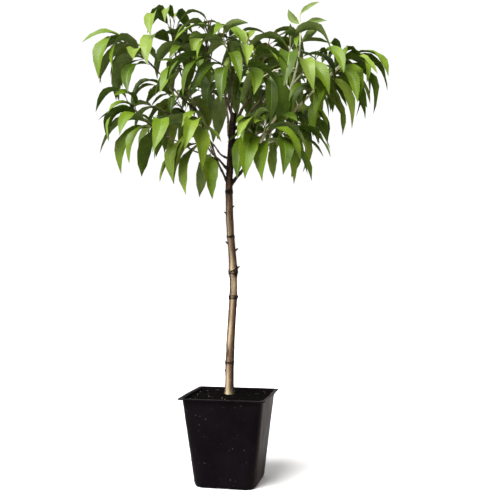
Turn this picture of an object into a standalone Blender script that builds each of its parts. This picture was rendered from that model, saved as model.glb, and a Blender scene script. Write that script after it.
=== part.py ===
"""Dwarf peach tree, trained as a short standard, in its square nursery pot.

Metres, +Z up. The origin is the middle of the pot's flat underside, and the pot stands square to X and Y.
The tree is set out from its best side, with +X to the right and +Y away, and is then turned in its pot by
TREE_TURN.
"""

import math

import bmesh
import bpy
import numpy as np

# Pot
POT_HEIGHT = 0.163
POT_LIP_WIDTH = 0.160
POT_TOP_WIDTH = 0.149
POT_FOOT_WIDTH = 0.117
POT_BASE_WIDTH = 0.106
POT_WALL = 0.0014
POT_FLOOR = 0.0034
POT_FOOT_ROLL = 0.014
POT_TOP_CORNER = 0.013
POT_FOOT_CORNER = 0.021
POT_LIP_CORNER = 0.006
POT_LIP_DROP = 0.0022
POT_LIP_EDGE = 0.0006
POT_INSIDE_DROP = 0.003
CORNER_POINTS = 5
NOTCH_WIDTH = 0.026
NOTCH_LENGTH = 0.016
NOTCH_DEPTH = 0.0018
DRAIN_RADIUS = 0.0045
DRAIN_SPACING = 0.030

# Soil, with the flat spot that the trunk stands on
SOIL_EDGE_DROP = 0.0060
SOIL_TOP = 0.1620
SOIL_FLAT_RADIUS = 0.014
SOIL_ROUGHNESS = 0.0008

# Gap between pieces that touch
GAP = 0.0003

# How far the tree is turned in its pot
TREE_TURN = math.radians(11.8)
SEED = 20

# Trunk, which stands on the soil
TRUNK_FOOT = SOIL_TOP + GAP
TRUNK_TOP = 0.690
TRUNK_FOOT_RADIUS = 0.0082
TRUNK_TOP_RADIUS = 0.0058
TRUNK_FLARE = 0.0020
TRUNK_FLARE_HEIGHT = 0.007
TRUNK_PIECES = 24
TRUNK_SWAY = 0.004
TRUNK_SWAY_RATE = 9.0
BEND_ROUNDING = 0.012
# Height of each bend in the trunk, and how far it stands to the side there
TRUNK_BENDS = (
    (TRUNK_FOOT, -0.0010), (0.225, -0.0003), (0.289, 0.0028), (0.343, 0.0063), (0.375, 0.0070),
    (0.420, 0.0048),
    (0.456, 0.0012), (0.499, -0.0010), (0.553, -0.0018), (0.619, 0.0020), (TRUNK_TOP, 0.0067),
)
# Height, swelling and half width of each ring left by an old bud or cut
TRUNK_RINGS = (
    (0.221, 0.0010, 0.0030), (0.343, 0.0014, 0.0040), (0.390, 0.0016, 0.0070), (0.456, 0.0008, 0.0030),
    (0.540, 0.0009, 0.0050),
)
# Height, bearing in degrees, length and thickness of each stub of a rubbed or cut shoot
TRUNK_STUBS = (
    (0.202, 180, 0.0035, 0.0024), (0.394, 0, 0.0080, 0.0021), (0.428, 0, 0.0085, 0.0022),
    (0.441, 180, 0.0080, 0.0021),
    (0.497, 180, 0.0065, 0.0019), (0.509, 10, 0.0045, 0.0024), (0.571, 150, 0.0040, 0.0018),
)
STUB_RISE = 0.45
CUT_SLOPE = 0.45

# Boughs and shoots
BOUGH_FOOT_RADIUS = 0.0031
BOUGH_TIP_RADIUS = 0.0021
BOUGH_COLLAR = 0.0014
BOUGH_COLLAR_LENGTH = 0.012
BOUGH_PIECES = 6
STEM_FOOT = 0.004
LEADER_PIECES = 4
SHOOT_PIECES = 3
SHOOT_STEP = 0.8
BEND_EASE = 0.45
# Each bough by name: the limb that it springs from, the height of its foot, its tip, its middle's lift
BOUGHS = {
    "left_leader": ("trunk", 0.680, (-0.029, -0.005, 0.762), 0.004),
    "right_leader": ("trunk", 0.668, (0.047, 0.012, 0.745), -0.006),
    "right": ("trunk", 0.549, (0.098, -0.030, 0.700), -0.008),
    "left": ("trunk", 0.547, (-0.079, -0.015, 0.728), 0.002),
    "far_right": ("right", 0.648, (0.156, -0.010, 0.728), -0.004),
    "far_left": ("left", 0.690, (-0.133, -0.030, 0.760), -0.002),
    "low_left": ("left", 0.600, (-0.118, -0.050, 0.640), -0.003),
    "front_right": ("right", 0.590, (0.050, -0.055, 0.612), -0.004),
    "front_left": ("trunk", 0.600, (-0.033, -0.050, 0.625), -0.004),
    "front": ("trunk", 0.655, (0.004, -0.060, 0.730), -0.006),
    "middle_right": ("trunk", 0.635, (0.082, 0.045, 0.680), -0.006),
    "back_left": ("trunk", 0.580, (-0.068, 0.062, 0.672), -0.008),
    "back_right": ("trunk", 0.655, (0.062, 0.080, 0.738), -0.008),
    "back": ("trunk", 0.625, (-0.008, 0.068, 0.715), -0.008),
}
# Shoots of the mass on each bough, the leader first: tip, number of leaves, length of a leaf
SHOOTS = {
    "front_right": (
        ((0.062, -0.090, 0.638), 5, 0.115), ((0.098, -0.065, 0.632), 6, 0.110),
        ((0.036, -0.100, 0.640), 3, 0.100),
    ),
    "front_left": (
        ((-0.048, -0.090, 0.650), 4, 0.120), ((-0.078, -0.065, 0.615), 4, 0.100),
        ((-0.026, -0.055, 0.597), 2, 0.110),
    ),
    "front": (
        ((-0.005, -0.120, 0.800), 5, 0.095), ((0.045, -0.110, 0.775), 5, 0.100),
        ((-0.045, -0.110, 0.770), 4, 0.110),
    ),
    "low_left": (
        ((-0.186, -0.050, 0.700), 5, 0.105), ((-0.146, -0.095, 0.655), 4, 0.110),
        ((-0.125, -0.030, 0.650), 3, 0.095),
    ),
    "far_left": (
        ((-0.192, -0.035, 0.812), 6, 0.110), ((-0.155, -0.065, 0.780), 3, 0.110),
        ((-0.165, 0.030, 0.800), 4, 0.110),
    ),
    "left": (
        ((-0.112, -0.010, 0.862), 8, 0.115), ((-0.066, 0.030, 0.840), 4, 0.100),
        ((-0.090, -0.055, 0.765), 4, 0.110),
    ),
    "left_leader": (
        ((-0.040, -0.010, 0.856), 5, 0.100), ((-0.050, -0.060, 0.805), 4, 0.110),
        ((-0.018, 0.010, 0.855), 1, 0.060),
        ((0.012, -0.015, 0.830), 4, 0.090),
    ),
    "right": (
        ((0.129, -0.035, 0.866), 10, 0.095), ((0.110, -0.065, 0.812), 6, 0.110),
        ((0.155, -0.050, 0.775), 6, 0.105),
        ((0.060, -0.050, 0.745), 5, 0.100),
    ),
    "right_leader": (
        ((0.076, 0.015, 0.838), 7, 0.090), ((0.034, -0.005, 0.835), 5, 0.090),
        ((0.030, 0.030, 0.790), 4, 0.090),
    ),
    "far_right": (
        ((0.228, -0.010, 0.795), 8, 0.105), ((0.205, -0.055, 0.765), 6, 0.105),
        ((0.195, 0.045, 0.795), 6, 0.105),
        ((0.160, -0.045, 0.715), 5, 0.095),
    ),
    "middle_right": (
        ((0.140, 0.055, 0.705), 6, 0.100), ((0.125, 0.015, 0.668), 6, 0.100),
        ((0.090, 0.070, 0.645), 4, 0.090),
    ),
    "back_left": (
        ((-0.145, 0.110, 0.765), 6, 0.105), ((-0.150, 0.060, 0.710), 4, 0.100),
        ((-0.085, 0.130, 0.700), 4, 0.100),
    ),
    "back_right": (
        ((0.120, 0.150, 0.805), 7, 0.100), ((0.155, 0.110, 0.760), 6, 0.105),
        ((0.070, 0.160, 0.735), 5, 0.100),
    ),
    "back": (
        ((-0.025, 0.150, 0.805), 6, 0.100), ((0.030, 0.120, 0.795), 6, 0.095),
        ((-0.060, 0.140, 0.760), 4, 0.100),
    ),
}
# Seed that each mass grows from, in the order in which they grow
SEEDS = {
    "front_right": 53, "front_left": 35, "front": 32, "low_left": 3, "far_left": 36,
    "left": 68, "left_leader": 29, "right": 3, "right_leader": 42, "far_right": 60,
    "middle_right": 69, "back_left": 46, "back_right": 38, "back": 12,
}
# Shoots whose first leaves are young, short and upright
UPRIGHT = {("right", 0)}
YOUNG_LEAVES = 5
YOUNG_SIZE = 0.55

# Leaves: shares of a leaf's length, unless they are radii
STALK = 0.09
STALK_RADIUS = 0.0007
BLADE_BASE = 0.80
BLADE_POINT = 0.95
LEAF_SHAPE = (0.25, 0.33)
LEAF_SPREAD = (0.85, 1.12)
TIP_LEAVES = (0.78, 0.92, 1.0)
LEAF_FOLD = (0.25, 0.10)
LEAF_EASE = 0.12
LEAVES_BACK = 0.92
OUTWARD = 0.34
LIGHT_SIDE = 0.06
TRIES = 16
# Space that a leaf keeps to, and its clearances
LOWEST_LEAF = 0.470
CLEAR_OF_LIMBS = 0.0055
CLEAR_OF_OWN_SHOOTS = 0.0040
CLEAR_OF_OWN_LEAVES = 0.0050
CLEAR_OF_OTHER_SHOOTS = 0.0075
CLEAR_OF_OTHER_LEAVES = 0.0090
REACH_BEYOND = 0.030
FREE_FROM = 10

UP = np.array((0.0, 0.0, 1.0))
GOLDEN = math.radians(137.5)

# Thickness and sides of the limbs, shoots and leaves
TRUNK_SIDES = 10
BOUGH_SIDES = 6
TWIG_SIDES = 3
TWIG_RADIUS = 0.0020
TWIG_TIP_RADIUS = 0.0014
SPROUT_RADIUS = 0.0016
LEAF_THICKNESS = 0.013
LEAF_ROOT_RADIUS = 0.0009
LEAF_STATIONS = (0.0, 0.34, 0.68, 1.0)


def unit(v):
    """A vector, or each row of an array of them, at length one."""
    return v / np.linalg.norm(v, axis=-1, keepdims=True)


def trunk_centre(z):
    """Centre of the trunk at each height: its bends, rounded off, with a slow sway from front to back."""
    z = np.asarray(z, float)
    heights, shifts = np.array(TRUNK_BENDS).T
    rounding = (-BEND_ROUNDING, 0.0, BEND_ROUNDING)
    x = sum(np.interp(z + step, heights, shifts) for step in rounding) / len(rounding)
    y = TRUNK_SWAY * np.sin((z - TRUNK_FOOT) * TRUNK_SWAY_RATE)
    return np.stack([x, y, z], -1)


def trunk_radius(z):
    """Radius of the trunk: an even taper, a flare at the foot and a swelling at each ring."""
    z = np.asarray(z, float)
    radius = np.interp(z, (TRUNK_FOOT, TRUNK_TOP), (TRUNK_FOOT_RADIUS, TRUNK_TOP_RADIUS))
    radius = radius + TRUNK_FLARE * np.exp(-(z - TRUNK_FOOT) / TRUNK_FLARE_HEIGHT)
    for height, swell, width in TRUNK_RINGS:
        radius = radius + swell * np.exp(-(((z - height) / width) ** 2) * 1.5)
    return radius


def at_height(line, z):
    """The point of a rising line at a height."""
    return np.array([np.interp(z, line[:, 2], line[:, k]) for k in range(3)])


def limb_lines():
    """Centre line and radii of the trunk and of each bough, which runs from its parent up to its tip."""
    z = np.linspace(TRUNK_FOOT, TRUNK_TOP, TRUNK_PIECES + 1)
    lines = {"trunk": (trunk_centre(z), trunk_radius(z))}
    for name, (parent, height, tip, lift) in BOUGHS.items():
        foot = at_height(lines[parent][0], height)
        t = np.linspace(0, 1, BOUGH_PIECES + 1)[:, None]
        line = foot + (np.array(tip) - foot) * t + 4 * lift * t * (1 - t) * UP
        lines[name] = (line, np.linspace(BOUGH_FOOT_RADIUS, BOUGH_TIP_RADIUS, BOUGH_PIECES + 1))
    return lines


def bend(start, heading, tip, pieces):
    """A curve that leaves its start along a heading and ends at a tip."""
    control = start + heading * np.linalg.norm(tip - start) * BEND_EASE
    t = np.linspace(0, 1, pieces + 1)[:, None]
    return (1 - t) ** 2 * start + 2 * t * (1 - t) * control + t**2 * tip


def shoot_lines(lines):
    """Centre lines of each mass's shoots: a leader from the bough's tip, and the others off the leader."""
    shoots = {}
    for name, rows in SHOOTS.items():
        limb = lines[name][0]
        heading = unit(limb[-1] - limb[-2])
        start = limb[-1] + heading * GAP
        stem = bend(start + heading * STEM_FOOT, heading, np.array(rows[0][0]), LEADER_PIECES)
        leader = np.vstack([start, stem])
        shoots[name] = [leader]
        for k, (tip, _, _) in enumerate(rows[1:]):
            spot = 1 + k * SHOOT_STEP
            i = int(spot)
            root = leader[i] + (leader[i + 1] - leader[i]) * (spot - i)
            along = unit(leader[i + 1] - leader[i])
            toward = unit(np.array(tip) - root)
            shoots[name].append(bend(root, unit(along + toward), np.array(tip), SHOOT_PIECES))
    return shoots


def read_at(s, fine, rows):
    """Columns of a table whose rows stand at fine, read at s."""
    return np.stack([np.interp(s, fine, rows[:, k]) for k in range(rows.shape[1])], -1)


def leaf_frame(leaf, s):
    """Middle line of a leaf at s, from its root at 0 to its point at 1, and the ways along, across and up.

    It rises from its twig and then droops, most near the root, while it turns slowly to one side.
    """
    fine = np.linspace(0, 1, 25)
    fall = LEAF_EASE * fine + (1 - LEAF_EASE) * (1 - (1 - fine) ** 2)
    pitch = leaf["rise"] - leaf["droop"] * fall
    yaw = leaf["heading"] + leaf["turn"] * fine
    along = np.stack([np.cos(pitch) * np.cos(yaw), np.cos(pitch) * np.sin(yaw), np.sin(pitch)], 1)
    steps = (along[1:] + along[:-1]) / 2 / (len(fine) - 1)
    path = np.vstack([np.zeros(3), np.cumsum(steps, 0)]) * leaf["length"] + leaf["root"]
    level = np.stack([-np.sin(yaw), np.cos(yaw), np.zeros(len(fine))], 1)
    tangent = unit(read_at(s, fine, along))
    level = unit(read_at(s, fine, level))
    side = level * math.cos(leaf["roll"]) + np.cross(tangent, level) * math.sin(leaf["roll"])
    return read_at(s, fine, path), tangent, side, np.cross(tangent, side)


def half_width(leaf, s):
    """Half the leaf's width at s: a thin stalk, then a blade, widest at two fifths, with a long point."""
    u = np.clip((np.asarray(s) - STALK) / (1 - STALK), 0, 1)
    widest = BLADE_BASE / (BLADE_BASE + BLADE_POINT)
    fullest = widest**BLADE_BASE * (1 - widest) ** BLADE_POINT
    return leaf["width"] / 2 * u**BLADE_BASE * (1 - u) ** BLADE_POINT / fullest + STALK_RADIUS * (1 - u)


def blade_points(leaf):
    """Points spread over a leaf's blade, in rows across it from the stalk to the point."""
    s, across = np.meshgrid(np.linspace(0.14, 1, 11), (-1, -0.5, 0, 0.5, 1), indexing="ij")
    path, _, side, face = leaf_frame(leaf, s.ravel())
    reach = (across.ravel() * half_width(leaf, s.ravel()))[:, None]
    return path + side * reach + face * np.abs(reach) * LEAF_FOLD[0]


def gap_to(points, dots):
    """Least distance from each point to the dots."""
    return np.sqrt(((points[:, None] - dots[None]) ** 2).sum(-1).min(1))


def dense(line, step):
    """A line's points, at even steps."""
    run = np.concatenate([[0], np.cumsum(np.linalg.norm(np.diff(line, axis=0), axis=1))])
    return read_at(np.linspace(0, run[-1], max(2, int(run[-1] / step) + 1)), run, line)


class Crown:
    """The limbs, shoots and leaves of the tree."""

    def __init__(self):
        self.lines = limb_lines()
        self.shoots = shoot_lines(self.lines)
        limbs = [(dense(line, 0.003), radii) for line, radii in self.lines.values()]
        self.wood = np.vstack([line for line, _ in limbs])
        self.wood_radius = np.concatenate([
            np.interp(np.linspace(0, 1, len(line)), np.linspace(0, 1, len(radii)), radii)
            for line, radii in limbs
        ])
        self.skeleton = {
            name: np.vstack([dense(line, 0.008) for line in rows]) for name, rows in self.shoots.items()
        }
        self.leaves = {}
        self.blades = {}

    def fits(self, name, blade, kept):
        """True where a blade keeps to its mass's space, clear of limbs, shoots and the leaves before it."""
        outer = blade[FREE_FROM:]
        if blade[:, 2].min() < LOWEST_LEAF:
            return False
        from_wood = np.sqrt(((blade[:, None] - self.wood[None]) ** 2).sum(-1)) - self.wood_radius
        if from_wood.min() < CLEAR_OF_LIMBS:
            return False
        away = gap_to(blade, np.vstack([dots for other, dots in self.skeleton.items() if other != name]))
        near = gap_to(blade, self.skeleton[name])
        if (near > away + REACH_BEYOND).any() or away.min() < CLEAR_OF_OTHER_SHOOTS:
            return False
        if near[FREE_FROM:].min() < CLEAR_OF_OWN_SHOOTS:
            return False
        if kept and gap_to(outer, np.vstack(kept)).min() < CLEAR_OF_OWN_LEAVES:
            return False
        others = [dots for other, dots in self.blades.items() if other != name and len(dots)]
        return not others or gap_to(blade, np.vstack(others)).min() >= CLEAR_OF_OTHER_LEAVES

    def grow(self, name, seed):
        """Sets the leaves round each shoot of a mass from its tip back, with a new try where one doesn't fit."""
        rng = np.random.default_rng([SEED, list(SHOOTS).index(name), seed])
        kept, leaves = [], []
        for number, ((_, count, length), line) in enumerate(zip(SHOOTS[name], self.shoots[name])):
            path = dense(line, 0.002)
            phase = rng.uniform(0, 2 * math.pi)
            for k in range(count):
                young = (name, number) in UPRIGHT and k < YOUNG_LEAVES
                spot = 1 - LEAVES_BACK * (k / max(3, count)) ** 0.9
                i = min(len(path) - 2, int(spot * (len(path) - 1)))
                along = unit(path[i + 1] - path[i])
                u = unit(np.cross(along, (0.3, 0.2, 1.0)))
                v = np.cross(along, u)
                outward = unit(np.array((path[i][0], path[i][1] - LIGHT_SIDE, 0.0)) + 1e-6)
                size = length * rng.uniform(*LEAF_SPREAD) * TIP_LEAVES[min(k, 2)]
                size *= YOUNG_SIZE if young else 1
                width = size * rng.uniform(*LEAF_SHAPE)
                for attempt, jig in enumerate(rng.uniform(-1, 1, (TRIES, 6))):
                    around = phase + k * GOLDEN + jig[0] * (0.4 + 0.25 * attempt)
                    lean = math.radians(48 + 16 * jig[1]) * (0.55 if k == 0 else 1)
                    aside = u * math.cos(around) + v * math.sin(around)
                    way = along * math.cos(lean) + aside * math.sin(lean)
                    way = unit(way + outward * OUTWARD)
                    rise = min(math.asin(np.clip(way[2], -1, 1)), math.radians(62))
                    end = (-48 + 22 * jig[2]) if k == 0 else (-70 + 17 * jig[2])
                    end = (40 + 20 * jig[2]) if young else end
                    leaf = {
                        "root": path[i], "heading": math.atan2(way[1], way[0]), "rise": rise,
                        "droop": max(0.15, rise - math.radians(end)), "length": size, "width": width,
                        "roll": math.radians(28) * jig[3], "turn": math.radians(30) * jig[4],
                        "fold": LEAF_FOLD[0] + LEAF_FOLD[1] * jig[5], "shoot": number, "place": k,
                    }
                    blade = blade_points(leaf)
                    if self.fits(name, blade, kept):
                        kept.append(blade[5:])
                        leaves.append(leaf)
                        break
        self.leaves[name] = leaves
        self.blades[name] = np.vstack(kept) if kept else np.zeros((0, 3))
        return leaves

def material(name, colour, roughness):
    """A Principled material of one colour."""
    made = bpy.data.materials.new(name)
    made.use_nodes = True
    shader = made.node_tree.nodes["Principled BSDF"]
    shader.inputs["Base Color"].default_value = (*colour, 1.0)
    shader.inputs["Roughness"].default_value = roughness
    return made


def solid(name, points, faces, look=None):
    """An object in the scene, with its faces in triangles that point outwards."""
    mesh = bpy.data.meshes.new(name)
    mesh.from_pydata([tuple(point) for point in points], [], faces)
    shape = bmesh.new()
    shape.from_mesh(mesh)
    bmesh.ops.triangulate(shape, faces=shape.faces)
    bmesh.ops.recalc_face_normals(shape, faces=shape.faces)
    shape.to_mesh(mesh)
    shape.free()
    if look:
        mesh.materials.append(look)
    made = bpy.data.objects.new(name, mesh)
    bpy.context.scene.collection.objects.link(made)
    return made


def skin(rings):
    """Points and faces of a closed skin over rings of equally many points, capped at both ends."""
    count = len(rings[0])
    points = [point for ring in rings for point in ring]
    faces = [tuple(range(count))[::-1], tuple(range(len(points) - count, len(points)))]
    for row in range(len(rings) - 1):
        for k in range(count):
            a = row * count + k
            b = row * count + (k + 1) % count
            faces.append((a, b, b + count, a + count))
    return points, faces


def tube(path, radii, sides):
    """Rings of a round limb, square to its centre line and carried along it without twist."""
    ahead = unit(np.gradient(path, axis=0))
    across = unit(np.cross(ahead[0], (0.3, 1.0, 0.2)))
    turn = np.arange(sides) * 2 * math.pi / sides
    rings = []
    for point, way, radius in zip(path, ahead, radii):
        across = unit(across - way * (across @ way))
        other = np.cross(way, across)
        rings.append(point + radius * (np.outer(np.cos(turn), across) + np.outer(np.sin(turn), other)))
    return rings


def apply_modifiers(made):
    """Gives an object the mesh that its modifiers make, and drops the modifiers."""
    bpy.context.view_layer.update()
    graph = bpy.context.evaluated_depsgraph_get()
    mesh = bpy.data.meshes.new_from_object(made.evaluated_get(graph))
    made.modifiers.clear()
    made.data = mesh


def keep_one_skin(made):
    """Keeps a mesh's largest skin, which fills sealed hollows and drops scraps, and triangulates it."""
    shape = bmesh.new()
    shape.from_mesh(made.data)
    loose = set(shape.faces)
    skins = []
    while loose:
        found = []
        waiting = [loose.pop()]
        while waiting:
            face = waiting.pop()
            found.append(face)
            beside = {other for edge in face.edges for other in edge.link_faces} & loose
            loose -= beside
            waiting += beside
        skins.append(found)
    skins.sort(key=len)
    bmesh.ops.delete(shape, geom=[face for found in skins[:-1] for face in found], context="FACES")
    bmesh.ops.triangulate(shape, faces=shape.faces)
    shape.to_mesh(made.data)
    shape.free()


def cut(made, cutter):
    """Takes a cutter's shape out of an object."""
    cutter.hide_render = True
    cutter.display_type = "WIRE"
    boolean = made.modifiers.new("cut", "BOOLEAN")
    boolean.operation = "DIFFERENCE"
    boolean.object = cutter
    apply_modifiers(made)
    bpy.data.objects.remove(cutter, do_unlink=True)
    keep_one_skin(made)


def fuse(made, others):
    """Joins a group of solids to an object with one union."""
    group = bpy.data.collections.new(made.name + "_pieces")
    bpy.context.scene.collection.children.link(group)
    for other in others:
        bpy.context.scene.collection.objects.unlink(other)
        group.objects.link(other)
    boolean = made.modifiers.new("fuse", "BOOLEAN")
    boolean.operation = "UNION"
    boolean.operand_type = "COLLECTION"
    boolean.collection = group
    apply_modifiers(made)
    for other in others:
        bpy.data.objects.remove(other, do_unlink=True)
    bpy.data.collections.remove(group)
    keep_one_skin(made)


def smooth(made, degrees):
    """Smooth shading, with an edge left sharp where its faces meet at more than an angle."""
    made.data.shade_smooth()
    made.data.set_sharp_from_angle(angle=math.radians(degrees))


def turned(points):
    """Points set out in the tree's own directions, turned into the pot's."""
    c = math.cos(TREE_TURN)
    s = math.sin(TREE_TURN)
    return np.asarray(points) @ np.array(((c, s, 0), (-s, c, 0), (0, 0, 1)))


def square_ring(width, corner, z):
    """A level square with round corners, each corner an arc of CORNER_POINTS points."""
    middle = width / 2 - corner
    ring = []
    for quarter in range(4):
        diagonal = math.pi / 2 * quarter + math.pi / 4
        for step in range(CORNER_POINTS):
            angle = math.pi / 2 * (quarter + step / (CORNER_POINTS - 1))
            x = math.copysign(middle, math.cos(diagonal)) + corner * math.cos(angle)
            y = math.copysign(middle, math.sin(diagonal)) + corner * math.sin(angle)
            ring.append((x, y, z))
    return ring


def pot_share(z):
    """How far up the pot's straight side a height is, from 0 at the rolled foot to 1 at the rim."""
    return (z - POT_FOOT_ROLL) / (POT_HEIGHT - POT_FOOT_ROLL)


def pot_width(z):
    """Outside width of the pot's body at a height."""
    return POT_FOOT_WIDTH + (POT_TOP_WIDTH - POT_FOOT_WIDTH) * pot_share(z)


def pot_corner(z):
    """Radius of the pot's upright corners at a height."""
    return POT_FOOT_CORNER + (POT_TOP_CORNER - POT_FOOT_CORNER) * pot_share(z)


def inner_ring(z, gap=0.0):
    """The inside of the pot's wall at a height, or a ring that stands clear of it by a gap."""
    inset = POT_WALL + gap
    return square_ring(pot_width(z) - 2 * inset, pot_corner(z) - inset, z)


def make_pot(look):
    """Thin tapered shell with a flat lip, a rolled foot, a notch under each side and four drain holes."""
    under_lip = POT_HEIGHT - POT_LIP_DROP
    lip_edge = POT_HEIGHT - POT_LIP_EDGE
    half_height = POT_HEIGHT / 2
    rings = [
        inner_ring(POT_FLOOR),
        inner_ring(POT_HEIGHT - POT_INSIDE_DROP),
        square_ring(POT_TOP_WIDTH, POT_TOP_CORNER, POT_HEIGHT),
        square_ring(POT_LIP_WIDTH - 2 * POT_LIP_EDGE, POT_LIP_CORNER, POT_HEIGHT),
        square_ring(POT_LIP_WIDTH, POT_LIP_CORNER, lip_edge),
        square_ring(POT_LIP_WIDTH, POT_LIP_CORNER, under_lip),
        square_ring(pot_width(under_lip), pot_corner(under_lip), under_lip),
        square_ring(pot_width(half_height), pot_corner(half_height), half_height),
    ]
    for degrees in (90, 60, 30, 0):
        rolled = (POT_FOOT_WIDTH - POT_BASE_WIDTH) * (1 - math.sin(math.radians(degrees)))
        rise = POT_FOOT_ROLL * (1 - math.cos(math.radians(degrees)))
        rings.append(square_ring(POT_FOOT_WIDTH - rolled, POT_FOOT_CORNER - rolled / 2, rise))
    pot = solid("pot", *skin(rings), look)
    for quarter in range(4):
        angle = quarter * math.pi / 2
        bpy.ops.mesh.primitive_cube_add(size=1.0)
        notch = bpy.context.object
        notch.scale = (NOTCH_LENGTH * 2, NOTCH_WIDTH, NOTCH_DEPTH * 2)
        notch.location = (POT_FOOT_WIDTH / 2 * math.cos(angle), POT_FOOT_WIDTH / 2 * math.sin(angle), 0)
        notch.rotation_euler.z = angle
        cut(pot, notch)
        bpy.ops.mesh.primitive_cylinder_add(vertices=12, radius=DRAIN_RADIUS, depth=POT_FLOOR * 4)
        hole = bpy.context.object
        diagonal = angle + math.pi / 4
        hole.location = (DRAIN_SPACING * math.cos(diagonal), DRAIN_SPACING * math.sin(diagonal), 0)
        cut(pot, hole)
    smooth(pot, 30)


def make_soil(look):
    """The block of compost that fills the pot, crowned towards a small flat spot round the trunk."""
    rng = np.random.default_rng(SEED)
    edge = POT_HEIGHT - SOIL_EDGE_DROP
    rings = [inner_ring(POT_FLOOR + GAP, GAP), inner_ring(edge, GAP)]
    outside = np.array(inner_ring(edge, GAP)) * (1, 1, 0)
    flat = unit(outside) * SOIL_FLAT_RADIUS
    for share in (0.30, 0.62, 1.0):
        ring = outside + (flat - outside) * share
        ring[:, 2] = edge + (SOIL_TOP - edge) * math.sin(share * math.pi / 2)
        if share < 1:
            ring[:, 2] += rng.uniform(-SOIL_ROUGHNESS, SOIL_ROUGHNESS, len(ring))
        rings.append(ring)
    smooth(solid("soil", *skin(rings), look), 40)


def trunk_rings(extra):
    """Rings of the trunk, made wider all round by an extra, with a flat foot and a slanting cut top."""
    heights = [*np.linspace(TRUNK_FOOT, TRUNK_TOP, 12), TRUNK_FOOT + 0.004, TRUNK_FOOT + 0.011]
    for height, _, width in TRUNK_RINGS:
        heights += [height - width, height, height + width]
    heights = np.array(sorted(heights))
    rings = tube(trunk_centre(heights), trunk_radius(heights) + extra, TRUNK_SIDES)
    rings[0][:, 2] = TRUNK_FOOT
    rings[-1][:, 2] = TRUNK_TOP + extra + (rings[-1][:, 0] - trunk_centre(TRUNK_TOP)[0]) * CUT_SLOPE
    return rings


def make_trunk(look):
    """The trunk from its flat cut at the soil to its cut top, with the stubs of old shoots fused on."""
    trunk = solid("trunk", *skin([turned(ring) for ring in trunk_rings(0.0)]), look)
    stubs = []
    for k, (height, bearing, length, radius) in enumerate(TRUNK_STUBS):
        way = unit(np.array((math.cos(math.radians(bearing)), math.sin(math.radians(bearing)), STUB_RISE)))
        reach = trunk_radius(height) + length
        path = trunk_centre(height) + np.outer(np.array((0.2, 0.75, 1.0)) * reach, way)
        rings = tube(path, radius * np.array((1.2, 1.0, 0.5)), 5)
        stubs.append(solid(f"stub_{k}", *skin([turned(ring) for ring in rings])))
    fuse(trunk, stubs)
    smooth(trunk, 40)


def limb_rings(name, extra):
    """Rings of a limb, made wider all round by an extra."""
    if name == "trunk":
        return trunk_rings(extra)
    path, radii = CROWN.lines[name]
    run = np.concatenate([[0], np.cumsum(np.linalg.norm(np.diff(path, axis=0), axis=1))])
    return tube(path, radii + BOUGH_COLLAR * np.exp(-run / BOUGH_COLLAR_LENGTH) + extra, BOUGH_SIDES)


def make_bough(name, look):
    """One tapering limb with a collar at its foot, cut to stand clear of the limb it springs from."""
    bough = solid(f"bough_{name}", *skin([turned(ring) for ring in limb_rings(name, 0.0)]), look)
    parent = BOUGHS[name][0]
    cut(bough, solid("cutter", *skin([turned(ring) for ring in limb_rings(parent, GAP)])))
    smooth(bough, 40)


def make_leaf(name, leaf):
    """A leaf's solid: a small root in the twig, two thin folded sections of the blade, and its point."""
    stations = np.array(LEAF_STATIONS)
    path, _, side, face = leaf_frame(leaf, stations)
    reach = half_width(leaf, stations)[:, None]
    lift = face * reach * leaf["fold"]
    thick = face * leaf["length"] * LEAF_THICKNESS / 2
    left = path - side * reach + lift
    right = path + side * reach + lift
    points = [path[0] + way * LEAF_ROOT_RADIUS for way in (-side[0], -face[0], side[0])]
    for k in (1, 2):
        points += [left[k], path[k] - thick[k], right[k], path[k] + thick[k]]
    points.append(path[-1])
    stalk = [(2, 1, 0), (0, 3, 4), (0, 4, 1), (1, 4, 5), (1, 5, 2), (0, 6, 3), (0, 2, 6), (2, 5, 6)]
    middle = [(3, 7, 8), (3, 8, 4), (5, 4, 8), (5, 8, 9), (3, 6, 10), (3, 10, 7), (5, 9, 10), (5, 10, 6)]
    tip = [(7, 11, 8), (8, 11, 9), (9, 11, 10), (10, 11, 7)]
    return solid(name, turned(points), stalk + middle + tip)


def make_mass(name, look):
    """One mass of leaves: its stem, its shoots and its leaves, joined into one solid."""
    pieces = []
    for k, path in enumerate(CROWN.shoots[name]):
        radii = np.linspace(TWIG_RADIUS if k == 0 else SPROUT_RADIUS, TWIG_TIP_RADIUS, len(path))
        rings = tube(path, radii, TWIG_SIDES)
        pieces.append(solid(f"{name}_shoot_{k}", *skin([turned(ring) for ring in rings])))
    pieces += [make_leaf(f"{name}_leaf_{k}", leaf) for k, leaf in enumerate(CROWN.leaves[name])]
    stem = pieces.pop(0)
    stem.name = f"leaves_{name}"
    stem.data.materials.append(look)
    fuse(stem, pieces)


for old in list(bpy.data.objects):
    bpy.data.objects.remove(old, do_unlink=True)

CROWN = Crown()
for mass, mass_seed in SEEDS.items():
    CROWN.grow(mass, mass_seed)

make_pot(material("black_plastic", (0.012, 0.011, 0.012), 0.35))
make_soil(material("compost", (0.030, 0.022, 0.016), 0.95))
bark = material("bark", (0.23, 0.17, 0.11), 0.8)
make_trunk(bark)
for bough_name in BOUGHS:
    make_bough(bough_name, bark)
for mass in SEEDS:
    make_mass(mass, material(f"leaf_{mass}", (0.09, 0.17, 0.03), 0.5))
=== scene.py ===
"""Looks of the dwarf peach tree in its square nursery pot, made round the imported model.

Metres, +Z up. The origin is the middle of the pot's flat underside, and the pot stands square to X and Y. The tree is
set out from its best side, with +X to the right and +Y away, and is then turned in its pot by TREE_TURN.
"""

import math

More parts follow.
